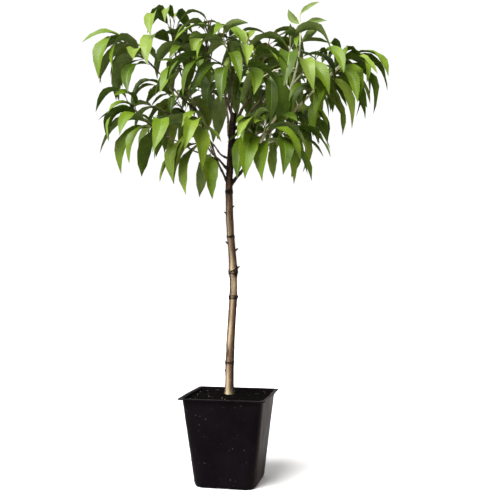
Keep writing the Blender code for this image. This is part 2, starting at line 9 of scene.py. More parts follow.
import bpy
import numpy as np
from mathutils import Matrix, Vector


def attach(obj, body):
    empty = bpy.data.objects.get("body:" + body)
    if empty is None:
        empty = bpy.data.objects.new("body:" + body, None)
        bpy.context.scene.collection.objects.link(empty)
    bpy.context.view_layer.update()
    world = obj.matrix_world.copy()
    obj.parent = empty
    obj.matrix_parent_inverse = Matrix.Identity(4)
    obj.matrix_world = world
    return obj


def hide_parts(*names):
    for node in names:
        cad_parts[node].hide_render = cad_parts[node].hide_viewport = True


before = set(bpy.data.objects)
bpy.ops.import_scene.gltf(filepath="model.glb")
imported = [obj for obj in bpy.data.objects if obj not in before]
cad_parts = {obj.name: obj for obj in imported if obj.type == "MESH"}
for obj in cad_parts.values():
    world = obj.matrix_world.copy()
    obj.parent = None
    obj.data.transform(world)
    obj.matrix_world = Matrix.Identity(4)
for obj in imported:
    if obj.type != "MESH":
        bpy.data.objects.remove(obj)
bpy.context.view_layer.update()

# Pot
POT_HEIGHT = 0.163
POT_LIP_WIDTH = 0.160
POT_TOP_WIDTH = 0.149
POT_FOOT_WIDTH = 0.117
POT_BASE_WIDTH = 0.106
POT_WALL = 0.0014
POT_FLOOR = 0.0034
POT_FOOT_ROLL = 0.014
POT_TOP_CORNER = 0.013
POT_FOOT_CORNER = 0.021
POT_LIP_CORNER = 0.006
POT_LIP_DROP = 0.0022
NOTCH_WIDTH = 0.026
NOTCH_LENGTH = 0.016
NOTCH_DEPTH = 0.0018
DRAIN_RADIUS = 0.0045
DRAIN_SPACING = 0.030

# Soil, with the flat spot that the trunk stands on
SOIL_EDGE_DROP = 0.0060
SOIL_TOP = 0.1620
SOIL_FLAT_RADIUS = 0.014

# Gap between the model's pieces that touch
GAP = 0.0003

# How far the tree is turned in its pot
TREE_TURN = math.radians(11.8)
SEED = 20

# Trunk, which stands on the soil
TRUNK_FOOT = SOIL_TOP + GAP
TRUNK_TOP = 0.690
TRUNK_FOOT_RADIUS = 0.0082
TRUNK_TOP_RADIUS = 0.0058
TRUNK_FLARE = 0.0020
TRUNK_FLARE_HEIGHT = 0.007
TRUNK_PIECES = 24
TRUNK_SWAY = 0.004
TRUNK_SWAY_RATE = 9.0
BEND_ROUNDING = 0.012
# Height of each bend in the trunk, and how far it stands to the side there
TRUNK_BENDS = (
    (TRUNK_FOOT, -0.0010), (0.225, -0.0003), (0.289, 0.0028), (0.343, 0.0063), (0.375, 0.0070),
    (0.420, 0.0048),
    (0.456, 0.0012), (0.499, -0.0010), (0.553, -0.0018), (0.619, 0.0020), (TRUNK_TOP, 0.0067),
)
# Height, swelling and half width of each ring left by an old bud or cut
TRUNK_RINGS = (
    (0.221, 0.0010, 0.0030), (0.343, 0.0014, 0.0040), (0.390, 0.0016, 0.0070), (0.456, 0.0008, 0.0030),
    (0.540, 0.0009, 0.0050),
)
# Height, bearing in degrees, length and thickness of each stub of a rubbed or cut shoot
TRUNK_STUBS = (
    (0.202, 180, 0.0035, 0.0024), (0.394, 0, 0.0080, 0.0021), (0.428, 0, 0.0085, 0.0022),
    (0.441, 180, 0.0080, 0.0021),
    (0.497, 180, 0.0065, 0.0019), (0.509, 10, 0.0045, 0.0024), (0.571, 150, 0.0040, 0.0018),
)
STUB_RISE = 0.45
CUT_SLOPE = 0.45

# Boughs and shoots
BOUGH_FOOT_RADIUS = 0.0031
BOUGH_TIP_RADIUS = 0.0021
BOUGH_COLLAR = 0.0014
BOUGH_COLLAR_LENGTH = 0.012
BOUGH_PIECES = 6
STEM_FOOT = 0.004
LEADER_PIECES = 4
SHOOT_PIECES = 3
SHOOT_STEP = 0.8
BEND_EASE = 0.45
# Name of each bough: the limb that it springs from, the height of its foot, its tip, and the lift of its middle
BOUGHS = {
    "left_leader": ("trunk", 0.680, (-0.029, -0.005, 0.762), 0.004),
    "right_leader": ("trunk", 0.668, (0.047, 0.012, 0.745), -0.006),
    "right": ("trunk", 0.549, (0.098, -0.030, 0.700), -0.008),
    "left": ("trunk", 0.547, (-0.079, -0.015, 0.728), 0.002),
    "far_right": ("right", 0.648, (0.156, -0.010, 0.728), -0.004),
    "far_left": ("left", 0.690, (-0.133, -0.030, 0.760), -0.002),
    "low_left": ("left", 0.600, (-0.118, -0.050, 0.640), -0.003),
    "front_right": ("right", 0.590, (0.050, -0.055, 0.612), -0.004),
    "front_left": ("trunk", 0.600, (-0.033, -0.050, 0.625), -0.004),
    "front": ("trunk", 0.655, (0.004, -0.060, 0.730), -0.006),
    "middle_right": ("trunk", 0.635, (0.082, 0.045, 0.680), -0.006),
    "back_left": ("trunk", 0.580, (-0.068, 0.062, 0.672), -0.008),
    "back_right": ("trunk", 0.655, (0.062, 0.080, 0.738), -0.008),
    "back": ("trunk", 0.625, (-0.008, 0.068, 0.715), -0.008),
}
# Shoots of the mass on each bough, the leader first: tip, number of leaves, length of a leaf
SHOOTS = {
    "front_right": (
        ((0.062, -0.090, 0.638), 5, 0.115), ((0.098, -0.065, 0.632), 6, 0.110),
        ((0.036, -0.100, 0.640), 3, 0.100),
    ),
    "front_left": (
        ((-0.048, -0.090, 0.650), 4, 0.120), ((-0.078, -0.065, 0.615), 4, 0.100),
        ((-0.026, -0.055, 0.597), 2, 0.110),
    ),
    "front": (
        ((-0.005, -0.120, 0.800), 5, 0.095), ((0.045, -0.110, 0.775), 5, 0.100),
        ((-0.045, -0.110, 0.770), 4, 0.110),
    ),
    "low_left": (
        ((-0.186, -0.050, 0.700), 5, 0.105), ((-0.146, -0.095, 0.655), 4, 0.110),
        ((-0.125, -0.030, 0.650), 3, 0.095),
    ),
    "far_left": (
        ((-0.192, -0.035, 0.812), 6, 0.110), ((-0.155, -0.065, 0.780), 3, 0.110),
        ((-0.165, 0.030, 0.800), 4, 0.110),
    ),
    "left": (
        ((-0.112, -0.010, 0.862), 8, 0.115), ((-0.066, 0.030, 0.840), 4, 0.100),
        ((-0.090, -0.055, 0.765), 4, 0.110),
    ),
    "left_leader": (
        ((-0.040, -0.010, 0.856), 5, 0.100), ((-0.050, -0.060, 0.805), 4, 0.110),
        ((-0.018, 0.010, 0.855), 1, 0.060),
        ((0.012, -0.015, 0.830), 4, 0.090),
    ),
    "right": (
        ((0.129, -0.035, 0.866), 10, 0.095), ((0.110, -0.065, 0.812), 6, 0.110),
        ((0.155, -0.050, 0.775), 6, 0.105),
        ((0.060, -0.050, 0.745), 5, 0.100),
    ),
    "right_leader": (
        ((0.076, 0.015, 0.838), 7, 0.090), ((0.034, -0.005, 0.835), 5, 0.090),
        ((0.030, 0.030, 0.790), 4, 0.090),
    ),
    "far_right": (
        ((0.228, -0.010, 0.795), 8, 0.105), ((0.205, -0.055, 0.765), 6, 0.105),
        ((0.195, 0.045, 0.795), 6, 0.105),
        ((0.160, -0.045, 0.715), 5, 0.095),
    ),
    "middle_right": (
        ((0.140, 0.055, 0.705), 6, 0.100), ((0.125, 0.015, 0.668), 6, 0.100),
        ((0.090, 0.070, 0.645), 4, 0.090),
    ),
    "back_left": (
        ((-0.145, 0.110, 0.765), 6, 0.105), ((-0.150, 0.060, 0.710), 4, 0.100),
        ((-0.085, 0.130, 0.700), 4, 0.100),
    ),
    "back_right": (
        ((0.120, 0.150, 0.805), 7, 0.100), ((0.155, 0.110, 0.760), 6, 0.105),
        ((0.070, 0.160, 0.735), 5, 0.100),
    ),
    "back": (
        ((-0.025, 0.150, 0.805), 6, 0.100), ((0.030, 0.120, 0.795), 6, 0.095),
        ((-0.060, 0.140, 0.760), 4, 0.100),
    ),
}
# Seed that each mass grows from, in the order in which they grow
SEEDS = {
    "front_right": 53, "front_left": 35, "front": 32, "low_left": 3, "far_left": 36,
    "left": 68, "left_leader": 29, "right": 3, "right_leader": 42, "far_right": 60,
    "middle_right": 69, "back_left": 46, "back_right": 38, "back": 12,
}
# Shoots whose first leaves are young, short and upright
UPRIGHT = {("right", 0)}
YOUNG_LEAVES = 5
YOUNG_SIZE = 0.55

# Leaves: shares of a leaf's length, unless they are radii
STALK = 0.09
STALK_RADIUS = 0.0007
BLADE_BASE = 0.80
BLADE_POINT = 0.95
LEAF_SHAPE = (0.25, 0.33)
LEAF_SPREAD = (0.85, 1.12)
TIP_LEAVES = (0.78, 0.92, 1.0)
LEAF_FOLD = (0.25, 0.10)
LEAF_EASE = 0.12
LEAVES_BACK = 0.92
OUTWARD = 0.34
LIGHT_SIDE = 0.06
TRIES = 16
# Space that a leaf keeps to, and its clearances
LOWEST_LEAF = 0.470
CLEAR_OF_LIMBS = 0.0055
CLEAR_OF_OWN_SHOOTS = 0.0040
CLEAR_OF_OWN_LEAVES = 0.0050
CLEAR_OF_OTHER_SHOOTS = 0.0075
CLEAR_OF_OTHER_LEAVES = 0.0090
REACH_BEYOND = 0.030
FREE_FROM = 10

UP = np.array((0.0, 0.0, 1.0))
GOLDEN = math.radians(137.5)
# Real thickness of the shoots, finer than the model's
LEADER_RADII = (0.0017, 0.0009)
SHOOT_RADII = (0.0012, 0.0007)
SPRIG_RADII = (0.0008, 0.0005)
# Fine growth: sprigs on each shoot, the seed that they grow from, their lengths, and the leaves on each
SPRIGS = {
    "front_right": 2, "front_left": 0, "front": 0, "low_left": 0, "far_left": 0, "left": 1, "left_leader": 0,
    "right": 1, "right_leader": 1, "far_right": 1, "middle_right": 2, "back_left": 1, "back_right": 2, "back": 1,
}
SPRIG_SEEDS = {
    "front_right": 5, "front_left": 32, "front": 30, "low_left": 33, "far_left": 11, "left": 22, "left_leader": 4,
    "right": 20, "right_leader": 24, "far_right": 35, "middle_right": 2, "back_left": 10, "back_right": 11, "back": 22,
}
SPRIG_LENGTH = (0.012, 0.030)
SPRIG_LEAF = (0.040, 0.085)
SPRIG_TRIES = 5
SPRIG_CLEARANCE = 0.45

# Camera, set out with the tree
CAMERA_PLACE = (0.3289, -1.4637, 0.398)
CAMERA_PITCH = 0.022
CAMERA_LENS = 57.6


def unit(v):
    """A vector, or each row of an array of them, at length one."""
    return v / np.linalg.norm(v, axis=-1, keepdims=True)


def trunk_centre(z):
    """Centre of the trunk at each height: its bends, rounded off, with a slow sway from front to back."""
    z = np.asarray(z, float)
    heights, shifts = np.array(TRUNK_BENDS).T
    rounding = (-BEND_ROUNDING, 0.0, BEND_ROUNDING)
    x = sum(np.interp(z + step, heights, shifts) for step in rounding) / len(rounding)
    y = TRUNK_SWAY * np.sin((z - TRUNK_FOOT) * TRUNK_SWAY_RATE)
    return np.stack([x, y, z], -1)


def trunk_radius(z):
    """Radius of the trunk: an even taper, a flare at the foot and a swelling at each ring."""
    z = np.asarray(z, float)
    radius = np.interp(z, (TRUNK_FOOT, TRUNK_TOP), (TRUNK_FOOT_RADIUS, TRUNK_TOP_RADIUS))
    radius = radius + TRUNK_FLARE * np.exp(-(z - TRUNK_FOOT) / TRUNK_FLARE_HEIGHT)
    for height, swell, width in TRUNK_RINGS:
        radius = radius + swell * np.exp(-(((z - height) / width) ** 2) * 1.5)
    return radius


def at_height(line, z):
    """The point of a rising line at a height."""
    return np.array([np.interp(z, line[:, 2], line[:, k]) for k in range(3)])


def limb_lines():
    """Centre line and radii of the trunk and of each bough, which runs from its parent to its tip with a lift."""
    z = np.linspace(TRUNK_FOOT, TRUNK_TOP, TRUNK_PIECES + 1)
    lines = {"trunk": (trunk_centre(z), trunk_radius(z))}
    for name, (parent, height, tip, lift) in BOUGHS.items():
        foot = at_height(lines[parent][0], height)
        t = np.linspace(0, 1, BOUGH_PIECES + 1)[:, None]
        line = foot + (np.array(tip) - foot) * t + 4 * lift * t * (1 - t) * UP
        lines[name] = (line, np.linspace(BOUGH_FOOT_RADIUS, BOUGH_TIP_RADIUS, BOUGH_PIECES + 1))
    return lines


def bend(start, heading, tip, pieces):
    """A curve that leaves its start along a heading and ends at a tip."""
    control = start + heading * np.linalg.norm(tip - start) * BEND_EASE
    t = np.linspace(0, 1, pieces + 1)[:, None]
    return (1 - t) ** 2 * start + 2 * t * (1 - t) * control + t**2 * tip


def shoot_lines(lines):
    """Centre lines of each mass's shoots: its leader goes on from the bough's tip, the others spring from the leader."""
    shoots = {}
    for name, rows in SHOOTS.items():
        limb = lines[name][0]
        heading = unit(limb[-1] - limb[-2])
        start = limb[-1] + heading * GAP
        leader = np.vstack([start, bend(start + heading * STEM_FOOT, heading, np.array(rows[0][0]), LEADER_PIECES)])
        shoots[name] = [leader]
        for k, (tip, _, _) in enumerate(rows[1:]):
            spot = 1 + k * SHOOT_STEP
            i = int(spot)
            root = leader[i] + (leader[i + 1] - leader[i]) * (spot - i)
            along = unit(leader[i + 1] - leader[i])
            toward = unit(np.array(tip) - root)
            shoots[name].append(bend(root, unit(along + toward), np.array(tip), SHOOT_PIECES))
    return shoots


def read_at(s, fine, rows):
    """Columns of a table whose rows stand at fine, read at s."""
    return np.stack([np.interp(s, fine, rows[:, k]) for k in range(rows.shape[1])], -1)


def leaf_frame(leaf, s):
    """Middle line of a leaf at s, from its root at 0 to its point at 1, with the ways along, across and upwards.

    It rises from its twig and then droops, most near the root, while it turns slowly to one side.
    """
    fine = np.linspace(0, 1, 25)
    fall = LEAF_EASE * fine + (1 - LEAF_EASE) * (1 - (1 - fine) ** 2)
    pitch = leaf["rise"] - leaf["droop"] * fall
    yaw = leaf["heading"] + leaf["turn"] * fine
    along = np.stack([np.cos(pitch) * np.cos(yaw), np.cos(pitch) * np.sin(yaw), np.sin(pitch)], 1)
    steps = (along[1:] + along[:-1]) / 2 / (len(fine) - 1)
    path = np.vstack([np.zeros(3), np.cumsum(steps, 0)]) * leaf["length"] + leaf["root"]
    level = np.stack([-np.sin(yaw), np.cos(yaw), np.zeros(len(fine))], 1)
    tangent = unit(read_at(s, fine, along))
    level = unit(read_at(s, fine, level))
    side = level * math.cos(leaf["roll"]) + np.cross(tangent, level) * math.sin(leaf["roll"])
    return read_at(s, fine, path), tangent, side, np.cross(tangent, side)


def half_width(leaf, s):
    """Half the leaf's width at s: a thin stalk, then a blade that is widest at two fifths and runs to a long point."""
    u = np.clip((np.asarray(s) - STALK) / (1 - STALK), 0, 1)
    widest = BLADE_BASE / (BLADE_BASE + BLADE_POINT)
    fullest = widest**BLADE_BASE * (1 - widest) ** BLADE_POINT
    return leaf["width"] / 2 * u**BLADE_BASE * (1 - u) ** BLADE_POINT / fullest + STALK_RADIUS * (1 - u)


def blade_points(leaf):
    """Points spread over a leaf's blade, in rows across it from the stalk to the point."""
    s, across = np.meshgrid(np.linspace(0.14, 1, 11), (-1, -0.5, 0, 0.5, 1), indexing="ij")
    path, _, side, face = leaf_frame(leaf, s.ravel())
    reach = (across.ravel() * half_width(leaf, s.ravel()))[:, None]
    return path + side * reach + face * np.abs(reach) * LEAF_FOLD[0]


def gap_to(points, dots):
    """Least distance from each point to the dots."""
    return np.sqrt(((points[:, None] - dots[None]) ** 2).sum(-1).min(1))


def dense(line, step):
    """A line's points, at even steps."""
    run = np.concatenate([[0], np.cumsum(np.linalg.norm(np.diff(line, axis=0), axis=1))])
    return read_at(np.linspace(0, run[-1], max(2, int(run[-1] / step) + 1)), run, line)


class Crown:
    """The limbs, shoots and leaves of the tree."""

    def __init__(self):
        self.lines = limb_lines()
        self.shoots = shoot_lines(self.lines)
        limbs = [(dense(line, 0.003), radii) for line, radii in self.lines.values()]
        self.wood = np.vstack([line for line, _ in limbs])
        self.wood_radius = np.concatenate([
            np.interp(np.linspace(0, 1, len(line)), np.linspace(0, 1, len(radii)), radii) for line, radii in limbs
        ])
        self.skeleton = {name: np.vstack([dense(line, 0.008) for line in rows]) for name, rows in self.shoots.items()}
        self.leaves = {}
        self.blades = {}

    def fits(self, name, blade, kept, share=1.0):
        """True where a blade keeps to its mass's space, clear of limbs, of shoots and of the leaves before it.

        Fine growth keeps only a share of the clearances.
        """
        outer = blade[FREE_FROM:]
        if blade[:, 2].min() < LOWEST_LEAF:
            return False
        if (np.sqrt(((blade[:, None] - self.wood[None]) ** 2).sum(-1)) - self.wood_radius).min() < CLEAR_OF_LIMBS * share:
            return False
        away = gap_to(blade, np.vstack([dots for other, dots in self.skeleton.items() if other != name]))
        near = gap_to(blade, self.skeleton[name])
        if (near > away + REACH_BEYOND).any() or away.min() < CLEAR_OF_OTHER_SHOOTS * share:
            return False
        if near[FREE_FROM:].min() < CLEAR_OF_OWN_SHOOTS * share:
            return False
        if kept and gap_to(outer, np.vstack(kept)).min() < CLEAR_OF_OWN_LEAVES * share:
            return False
        others = [dots for other, dots in self.blades.items() if other != name and len(dots)]
        return not others or gap_to(blade, np.vstack(others)).min() >= CLEAR_OF_OTHER_LEAVES * share

    def grow(self, name, seed):
        """Sets the leaves round each shoot of a mass from its tip back, and tries a leaf that doesn't fit again."""
        rng = np.random.default_rng([SEED, list(SHOOTS).index(name), seed])
        kept, leaves = [], []
        for number, ((_, count, length), line) in enumerate(zip(SHOOTS[name], self.shoots[name])):
            path = dense(line, 0.002)
            phase = rng.uniform(0, 2 * math.pi)
            for k in range(count):
                young = (name, number) in UPRIGHT and k < YOUNG_LEAVES
                spot = 1 - LEAVES_BACK * (k / max(3, count)) ** 0.9
                i = min(len(path) - 2, int(spot * (len(path) - 1)))
                along = unit(path[i + 1] - path[i])
                u = unit(np.cross(along, (0.3, 0.2, 1.0)))
                v = np.cross(along, u)
                outward = unit(np.array((path[i][0], path[i][1] - LIGHT_SIDE, 0.0)) + 1e-6)
                size = length * rng.uniform(*LEAF_SPREAD) * TIP_LEAVES[min(k, 2)] * (YOUNG_SIZE if young else 1)
                width = size * rng.uniform(*LEAF_SHAPE)
                for attempt, jig in enumerate(rng.uniform(-1, 1, (TRIES, 6))):
                    around = phase + k * GOLDEN + jig[0] * (0.4 + 0.25 * attempt)
                    lean = math.radians(48 + 16 * jig[1]) * (0.55 if k == 0 else 1)
                    way = along * math.cos(lean) + (u * math.cos(around) + v * math.sin(around)) * math.sin(lean)
                    way = unit(way + outward * OUTWARD)
                    rise = min(math.asin(np.clip(way[2], -1, 1)), math.radians(62))
                    end = (40 + 20 * jig[2]) if young else (-48 + 22 * jig[2]) if k == 0 else (-70 + 17 * jig[2])
                    leaf = {
                        "root": path[i], "heading": math.atan2(way[1], way[0]), "rise": rise,
                        "droop": max(0.15, rise - math.radians(end)), "length": size, "width": width,
                        "roll": math.radians(28) * jig[3], "turn": math.radians(30) * jig[4],
                        "fold": LEAF_FOLD[0] + LEAF_FOLD[1] * jig[5], "shoot": number, "place": k,
                    }
                    blade = blade_points(leaf)
                    if self.fits(name, blade, kept):
                        kept.append(blade[5:])
                        leaves.append(leaf)
                        break
        self.leaves[name] = leaves
        self.blades[name] = np.vstack(kept) if kept else np.zeros((0, 3))
        return leaves


def turned(points):
    """Points set out in the tree's own directions, turned into the pot's."""
    c = math.cos(TREE_TURN)
    s = math.sin(TREE_TURN)
    return np.asarray(points) @ np.array(((c, s, 0), (-s, c, 0), (0, 0, 1)))


def ease(low, high, x):
    """A smooth step from 0 at low to 1 at high: 3t^2 - 2t^3."""
    t = np.clip((np.asarray(x, float) - low) / (high - low), 0, 1)
    return t * t * (3 - 2 * t)


def bump(x, middle, width):
    """A bell that is 1 at its middle and a third at its width: exp(-((x - middle) / width)^2)."""
    return np.exp(-(((np.asarray(x) - middle) / width) ** 2))


def ripple(points, size, seed, waves=20):
    """Soft noise from about -1 to 1: a sum of cosines that run in random ways, with wavelengths near a size."""
    rng = np.random.default_rng([SEED, seed])
    ways = unit(rng.normal(size=(waves, 3))) * (2 * math.pi / (np.asarray(size) * rng.uniform(0.7, 1.5, (waves, 1))))
    phases = rng.uniform(0, 2 * math.pi, waves)
    total = np.zeros(points.shape[:-1])
    for way, phase in zip(ways, phases):
        total += np.cos(points @ way + phase)
    return total / math.sqrt(waves)


def wall_quads(rows, count):
    """Quads between neighbouring rings of a closed tube, each ring turning left about the way that the rings run."""
    a = np.arange(rows - 1)[:, None] * count + np.arange(count)
    b = np.arange(rows - 1)[:, None] * count + (np.arange(count) + 1) % count
    return np.stack([a, b, b + count, a + count], -1).reshape(-1, 4)


def fan(centre, first, count, flip):
    """Triangles from a centre point to a ring of points that starts at first."""
    a = first + np.arange(count)
    b = first + (np.arange(count) + 1) % count
    if flip:
        a, b = b, a
    return np.stack([np.full(count, centre), a, b], -1)


def limb_tube(path, radii, sides):
    """Rings round a path: each point is the path's, plus its radius times a unit vector square to the path."""
    ahead = unit(np.gradient(path, axis=0))
    guide = unit(np.cross(path[-1] - path[0], (0.31, 0.95, 0.11)))
    across = unit(guide - ahead * (ahead @ guide)[:, None])
    other = np.cross(ahead, across)
    turn = np.arange(sides) * 2 * math.pi / sides
    spokes = np.cos(turn)[:, None] * across[:, None] + np.sin(turn)[:, None] * other[:, None]
    return path[:, None] + np.asarray(radii).reshape(len(path), -1)[..., None] * spokes


class Heap:
    """Closed skins gathered into the one mesh of a piece."""

    def __init__(self):
        self.points, self.quads, self.tris, self.quad_looks, self.tri_looks = [], [], [], [], []
        self.masks = {}
        self.count = 0

    def add(self, points, quads, tris, quad_looks=0, tri_looks=0, **masks):
        """Adds a skin: its points, faces, the number of each face's material, and its masks' value at each point."""
        self.points.append(points)
        self.quads.append(quads + self.count)
        self.tris.append(tris + self.count)
        self.quad_looks.append(np.broadcast_to(quad_looks, len(quads)))
        self.tri_looks.append(np.broadcast_to(tri_looks, len(tris)))
        for name, values in masks.items():
            self.masks.setdefault(name, []).append(values)
        self.count += len(points)

    def add_tube(self, rings, look=0, **masks):
        """Adds a tube of rings, closed by a fan at each end."""
        rows, count = rings.shape[:2]
        ends = rings[[0, -1]].mean(1)
        tris = np.vstack([fan(rows * count, 0, count, True), fan(rows * count + 1, (rows - 1) * count, count, False)])
        spread = {
            name: np.concatenate([np.broadcast_to(v, (rows, count) + np.shape(v)[2:]).reshape(rows * count, -1),
                                  np.broadcast_to(v, (rows, count) + np.shape(v)[2:])[[0, -1], 0].reshape(2, -1)])
            for name, v in masks.items()
        }
        self.add(np.vstack([rings.reshape(-1, 3), ends]), wall_quads(rows, count), tris, look, look, **spread)

    def piece(self, name, looks, stands_for=(), sharp=40.0, turn=True):
        """Makes the mesh, with edges sharper than an angle left sharp, and sets it to ride on the plant's one body."""
        points = np.vstack(self.points)
        points = (turned(points) if turn else points).astype(np.float32)
        quads = np.vstack(self.quads)
        tris = np.vstack(self.tris)
        mesh = bpy.data.meshes.new(name)
        mesh.vertices.add(len(points))
        mesh.vertices.foreach_set("co", points.ravel())
        mesh.loops.add(quads.size + tris.size)
        mesh.loops.foreach_set("vertex_index", np.concatenate([quads.ravel(), tris.ravel()]).astype(np.int32))
        mesh.polygons.add(len(quads) + len(tris))
        starts = np.concatenate([np.arange(len(quads)) * 4, quads.size + np.arange(len(tris)) * 3])
        mesh.polygons.foreach_set("loop_start", starts.astype(np.int32))
        looks_of = np.concatenate(self.quad_looks + self.tri_looks).astype(np.int32)
        mesh.polygons.foreach_set("material_index", looks_of)
        mesh.update(calc_edges=True)
        for mask, values in self.masks.items():
            values = np.vstack(values).astype(np.float32)
            kind = "FLOAT" if values.shape[1] == 1 else "FLOAT_VECTOR"
            layer = mesh.attributes.new(mask, kind, "POINT")
            layer.data.foreach_set("value" if kind == "FLOAT" else "vector", values.ravel())
        for look in looks:
            mesh.materials.append(look)
        mesh.shade_smooth()
        mesh.set_sharp_from_angle(angle=math.radians(sharp))
        made = bpy.data.objects.new(name, mesh)
        bpy.context.scene.collection.objects.link(made)
        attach(made, "root")
        if stands_for:
            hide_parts(*stands_for)
        return made




def smooth_shoots(crown):
    """The shoots' curves with many more points, each leader's foot sunk a little into its bough."""
    fine = {}
    for name, rows in SHOOTS.items():
        limb = crown.lines[name][0]
        heading = unit(limb[-1] - limb[-2])
        coarse = crown.shoots[name]
        start = coarse[0][0]
        leader = bend(start + heading * STEM_FOOT, heading, np.array(rows[0][0]), 24)
        fine[name] = [np.vstack([start - heading * 0.004, start, leader])]
        for row, old in zip(rows[1:], coarse[1:]):
            near = leader[np.argmin(np.linalg.norm(leader - old[0], axis=1))]
            toward = unit(np.array(row[0]) - near)
            along = unit(old[1] - old[0])
            fine[name].append(bend(near, unit(along * 0.7 + toward * 0.3), np.array(row[0]), 18))
    return fine


def nearest(line, point):
    """The point of a line nearest to a point."""
    dots = dense(line, 0.0008)
    return dots[np.argmin(np.linalg.norm(dots - point, axis=1))]


def grow_sprigs(crown, name, fine, seed):
    """Fine growth of a mass: short side twigs between its leaves, each with a few small leaves where they fit."""
    rng = np.random.default_rng([SEED, 7, list(SHOOTS).index(name), seed])
    kept = [crown.blades[name]]
    twigs, leaves = [], []
    for number, line in enumerate(fine[name]):
        path = dense(line, 0.001)
        for _ in range(SPRIGS[name] + (number == 0)):
            i = int(rng.uniform(0.18, 0.93) * (len(path) - 2))
            along = unit(path[i + 1] - path[i])
            draw = rng.uniform(-1, 1, (SPRIG_TRIES, 3))
            length = rng.uniform(*SPRIG_LENGTH)
            count = int(rng.integers(2, 5))
            seeds = rng.uniform(-1, 1, (count, SPRIG_TRIES, 6))
            sizes = rng.uniform(*SPRIG_LEAF, count)
            shapes = rng.uniform(*LEAF_SHAPE, count)
            way = unit(along * 0.7 + draw[0] + np.array((0, 0, 0.4)))
            tip = path[i] + (way * 0.8 + along * 0.2 + UP * 0.15) * length
            twig = bend(path[i], way, tip, 5)
            found = []
            for k in range(count):
                root = twig[-1] if k == 0 else twig[max(1, 5 - k)]
                for jig in seeds[k]:
                    aim = unit(way * (0.8 if k == 0 else 0.2) + jig[:3] * (0.5 if k == 0 else 1.0))
                    rise = math.asin(np.clip(aim[2], -0.5, 0.85))
                    leaf = {
                        "root": root, "heading": math.atan2(aim[1], aim[0]), "rise": rise,
                        "droop": max(0.3, rise - math.radians(-35 + 35 * jig[3])), "length": sizes[k],
                        "width": sizes[k] * shapes[k], "roll": math.radians(30) * jig[4],
                        "turn": math.radians(30) * jig[5], "fold": LEAF_FOLD[0] + LEAF_FOLD[1] * jig[0],
                        "shoot": number, "place": k + 20,
                    }
                    blade = blade_points(leaf)
                    if crown.fits(name, blade, kept, SPRIG_CLEARANCE):
                        kept.append(blade[5:])
                        found.append(leaf)
                        break
            if found:
                twigs.append((number, twig))
                leaves += found
    crown.blades[name] = np.vstack(kept)
    return twigs, leaves


# A leaf's rings: where they stand along it, and the places of a ring's points across it, above and below
LEAF_RINGS = np.array((0, 0.05, 0.09, 0.13, 0.19, 0.27, 0.36, 0.46, 0.57, 0.68, 0.79, 0.90))
SMALL_LEAF_RINGS = np.array((0, 0.08, 0.13, 0.24, 0.38, 0.54, 0.70, 0.87))
LEAF_ACROSS = np.array((-1.0, -0.5, -0.045, 0.045, 0.5, 1.0, 0.5, 0.045, -0.045, -0.5))
LEAF_FACING = np.array((0, 1, 1, 1, 1, 0, -1, -1, -1, -1))
STALK_RINGS = 2
# Number of the material of each strip of a ring, with the tint of its upper side and underside still to add
UPPER, UNDER, RIB, STALK_LOOK = 0, 5, 8, 9
STRIPS = np.array((UPPER, UPPER, RIB, UPPER, UPPER, UNDER, UNDER, UNDER, UNDER, UNDER))
UPPER_STRIPS = np.array((1, 1, 0, 1, 1, 0, 0, 0, 0, 0))
UNDER_STRIPS = np.array((0, 0, 0, 0, 0, 1, 1, 1, 1, 1))
# A leaf's bow above a straight run to its point and to one side, as shares of its length, and its fuller fold
LEAF_ARCH = (0.05, 0.14)
LEAF_SICKLE = 0.10
FOLD_MORE = 1.7
# How far the margin goes in and out from ring to ring, as a share of half the width
SCALLOP = 0.05
# A finished leaf's length against the source's
LENGTHEN = 1.06


def leaf_course(leaf, s, arch, sickle):
    """The source's middle line of a leaf, bowed upwards and to one side by 4s(1 - s) times its length, with its frame."""
    path, _, side, face = leaf_frame(leaf, s)
    ends = leaf_frame(leaf, np.array((0.0, 1.0)))[0]
    chord = unit(ends[1] - ends[0])
    lift = UP - chord * chord[2]
    out = np.array((math.cos(leaf["heading"]), math.sin(leaf["heading"]), 0.25))
    lift = unit(lift * 0.4 + (out - chord * (out @ chord)))
    across = np.cross(chord, lift)
    bow = (4 * s * (1 - s))[:, None] * leaf["length"]
    path = path + bow * (lift * arch + across * sickle)
    path = path[:1] + (path - path[:1]) * LENGTHEN
    ahead = unit(np.gradient(path, s, axis=0))
    side = unit(side - ahead * (side * ahead).sum(1, keepdims=True))
    return path, side, np.cross(ahead, side)


def blade_width(leaf, s):
    """Half the width of a finished leaf: a long oval, the power of a half sine, whose last quarter is drawn to a point."""
    u = np.clip((s - STALK) / (1 - STALK), 0, 1)
    oval = np.sin(math.pi * u**0.86) ** 0.78 * (1 - 0.28 * ease(0.66, 0.97, u))
    return leaf["width"] / 2 * 0.88 * oval + STALK_RADIUS * (1 - u)


